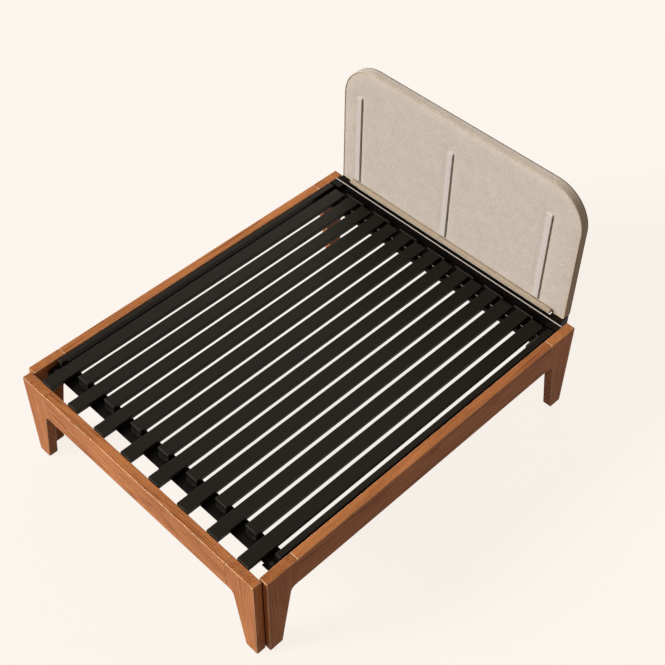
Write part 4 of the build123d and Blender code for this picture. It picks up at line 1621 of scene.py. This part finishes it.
@dataclass
class Studio:
    """The pale floor, the lamps and the camera.

    Args:
        backdrop: The floor's and the background's colour.
        floor_glow: The light that the floor shows of its own, in linear light.
        floor_bounce: The floor's colour for the light that it throws back on the bed.
        sky_colour: The colour of the light from the surroundings, in linear light.
        sky_level: How strongly the surroundings light the object.
        floor_share: How much of the floor's look answers to the lamps, so that it keeps a shadow.
        floor_half: Half of the floor's side.
        camera_place: Where the camera stands.
        azimuth: How far the camera looks round to the left from straight on, in degrees.
        pitch: How far it looks down, in degrees.
        roll: How far it leans, in degrees.
        focal: The focal length in pixels of the picture.
        picture: The picture's width in pixels.
        sensor: The sensor's width, in millimetres.
    """

    backdrop: Tone = Tone(254, 246, 239)
    floor_glow: tuple[float, float, float, float] = (1.0, 0.945, 0.885, 1.0)
    floor_bounce: Tone = Tone(124, 106, 88)
    sky_colour: tuple[float, float, float, float] = (1.0, 0.80, 0.60, 1.0)
    sky_level: float = 0.24
    floor_share: float = 0.10
    floor_half: float = 60.0
    camera_place: Point = (2.112, -2.0151, 3.6631)
    azimuth: float = 44.515
    pitch: float = 47.473
    roll: float = 0.754
    focal: float = 1257.56
    picture: float = 665.0
    sensor: float = 36.0

    def seen_directly(self, bench: Bench) -> Socket:
        """1 where the ray comes from the camera or by gloss or glass, else 0."""
        path = bench.add("ShaderNodeLightPath").outputs
        gloss = bench.math("MAXIMUM", path["Is Glossy Ray"], path["Is Transmission Ray"])
        return bench.math("MAXIMUM", path["Is Camera Ray"], gloss)

    def floor(self) -> None:
        """Lays the floor, which shows its own colour and a faint shadow."""
        mesh = bmesh.new()
        bmesh.ops.create_grid(mesh, x_segments=8, y_segments=8, size=self.floor_half)
        data = bpy.data.meshes.new("floor")
        mesh.to_mesh(data)
        mesh.free()
        material = bpy.data.materials.new("studio_floor")
        material.use_nodes = True
        material.node_tree.nodes.clear()
        b = Bench(material.node_tree)
        seen = self.seen_directly(b)
        glow = b.add("ShaderNodeEmission")
        glow.inputs["Color"].default_value = self.floor_glow
        matt = b.add("ShaderNodeBsdfDiffuse")
        b.feed(matt.inputs["Color"], b.blend(seen, self.floor_bounce.linear(), self.backdrop.linear()))
        mixed = b.add("ShaderNodeMixShader")
        b.feed(mixed.inputs[0], b.math("MULTIPLY", seen, 1.0 - self.floor_share))
        b.feed(mixed.inputs[1], matt.outputs[0])
        b.feed(mixed.inputs[2], glow.outputs[0])
        b.feed(b.add("ShaderNodeOutputMaterial").inputs["Surface"], mixed.outputs[0])
        data.materials.append(material)
        floor = bpy.data.objects.new("floor", data)
        stand(floor)

    def sky(self) -> None:
        """Lights the scene evenly, and shows the backdrop's colour behind it."""
        world = bpy.data.worlds.new("studio")
        world.use_nodes = True
        world.node_tree.nodes.clear()
        b = Bench(world.node_tree)
        even = b.add("ShaderNodeBackground")
        even.inputs["Color"].default_value = self.sky_colour
        even.inputs["Strength"].default_value = self.sky_level
        shown = b.add("ShaderNodeBackground")
        shown.inputs["Color"].default_value = self.backdrop.linear()
        mixed = b.add("ShaderNodeMixShader")
        b.feed(mixed.inputs[0], self.seen_directly(b))
        b.feed(mixed.inputs[1], even.outputs[0])
        b.feed(mixed.inputs[2], shown.outputs[0])
        b.feed(b.add("ShaderNodeOutputWorld").inputs["Surface"], mixed.outputs[0])
        bpy.context.scene.world = world

    def camera(self) -> None:
        """Stands the camera where the photograph was taken."""
        data = bpy.data.cameras.new("camera")
        data.sensor_width = self.sensor
        data.sensor_fit = "HORIZONTAL"
        data.lens = self.sensor * self.focal / self.picture
        data.clip_end = 200.0
        turn, down, lean = (math.radians(a) for a in (self.azimuth, self.pitch, self.roll))
        ahead = Vector((-math.sin(turn) * math.cos(down), math.cos(turn) * math.cos(down), -math.sin(down)))
        right = Vector((math.cos(turn), math.sin(turn), 0.0))
        up = right.cross(ahead)
        x_axis = right * math.cos(lean) + up * math.sin(lean)
        y_axis = up * math.cos(lean) - right * math.sin(lean)
        camera = bpy.data.objects.new("camera", data)
        turned = Matrix((x_axis, y_axis, -ahead)).transposed()
        camera.matrix_world = Matrix.Translation(self.camera_place) @ turned.to_4x4()
        stand(camera)
        bpy.context.scene.camera = camera

    def build(self) -> None:
        """Sets up the floor, the surroundings, the lamps and the camera."""
        bpy.context.scene.view_settings.view_transform = "Standard"
        self.camera()
        self.floor()
        self.sky()
        Lamp("key", (-0.474, -0.737, 0.482), 3.1, 20.0, (1.0, 0.98, 0.95)).build()
        Lamp("rim", (-0.62, 0.60, 0.50), 0.35, 40.0, (1.0, 0.90, 0.74)).build()
        log.info("the studio is lit")


def main() -> None:
    """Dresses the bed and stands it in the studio."""
    logging.basicConfig(level=logging.INFO, format="%(name)s: %(message)s")
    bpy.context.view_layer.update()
    Studio().build()
    groups = Groups()
    WoodFrame(groups).build()
    Steelwork(groups).build()
    pieces = Headboard(groups).build()
    log.info("%d pieces of cloth and trim are on the headboard", len(pieces))


if __name__ == "__main__":
    main()
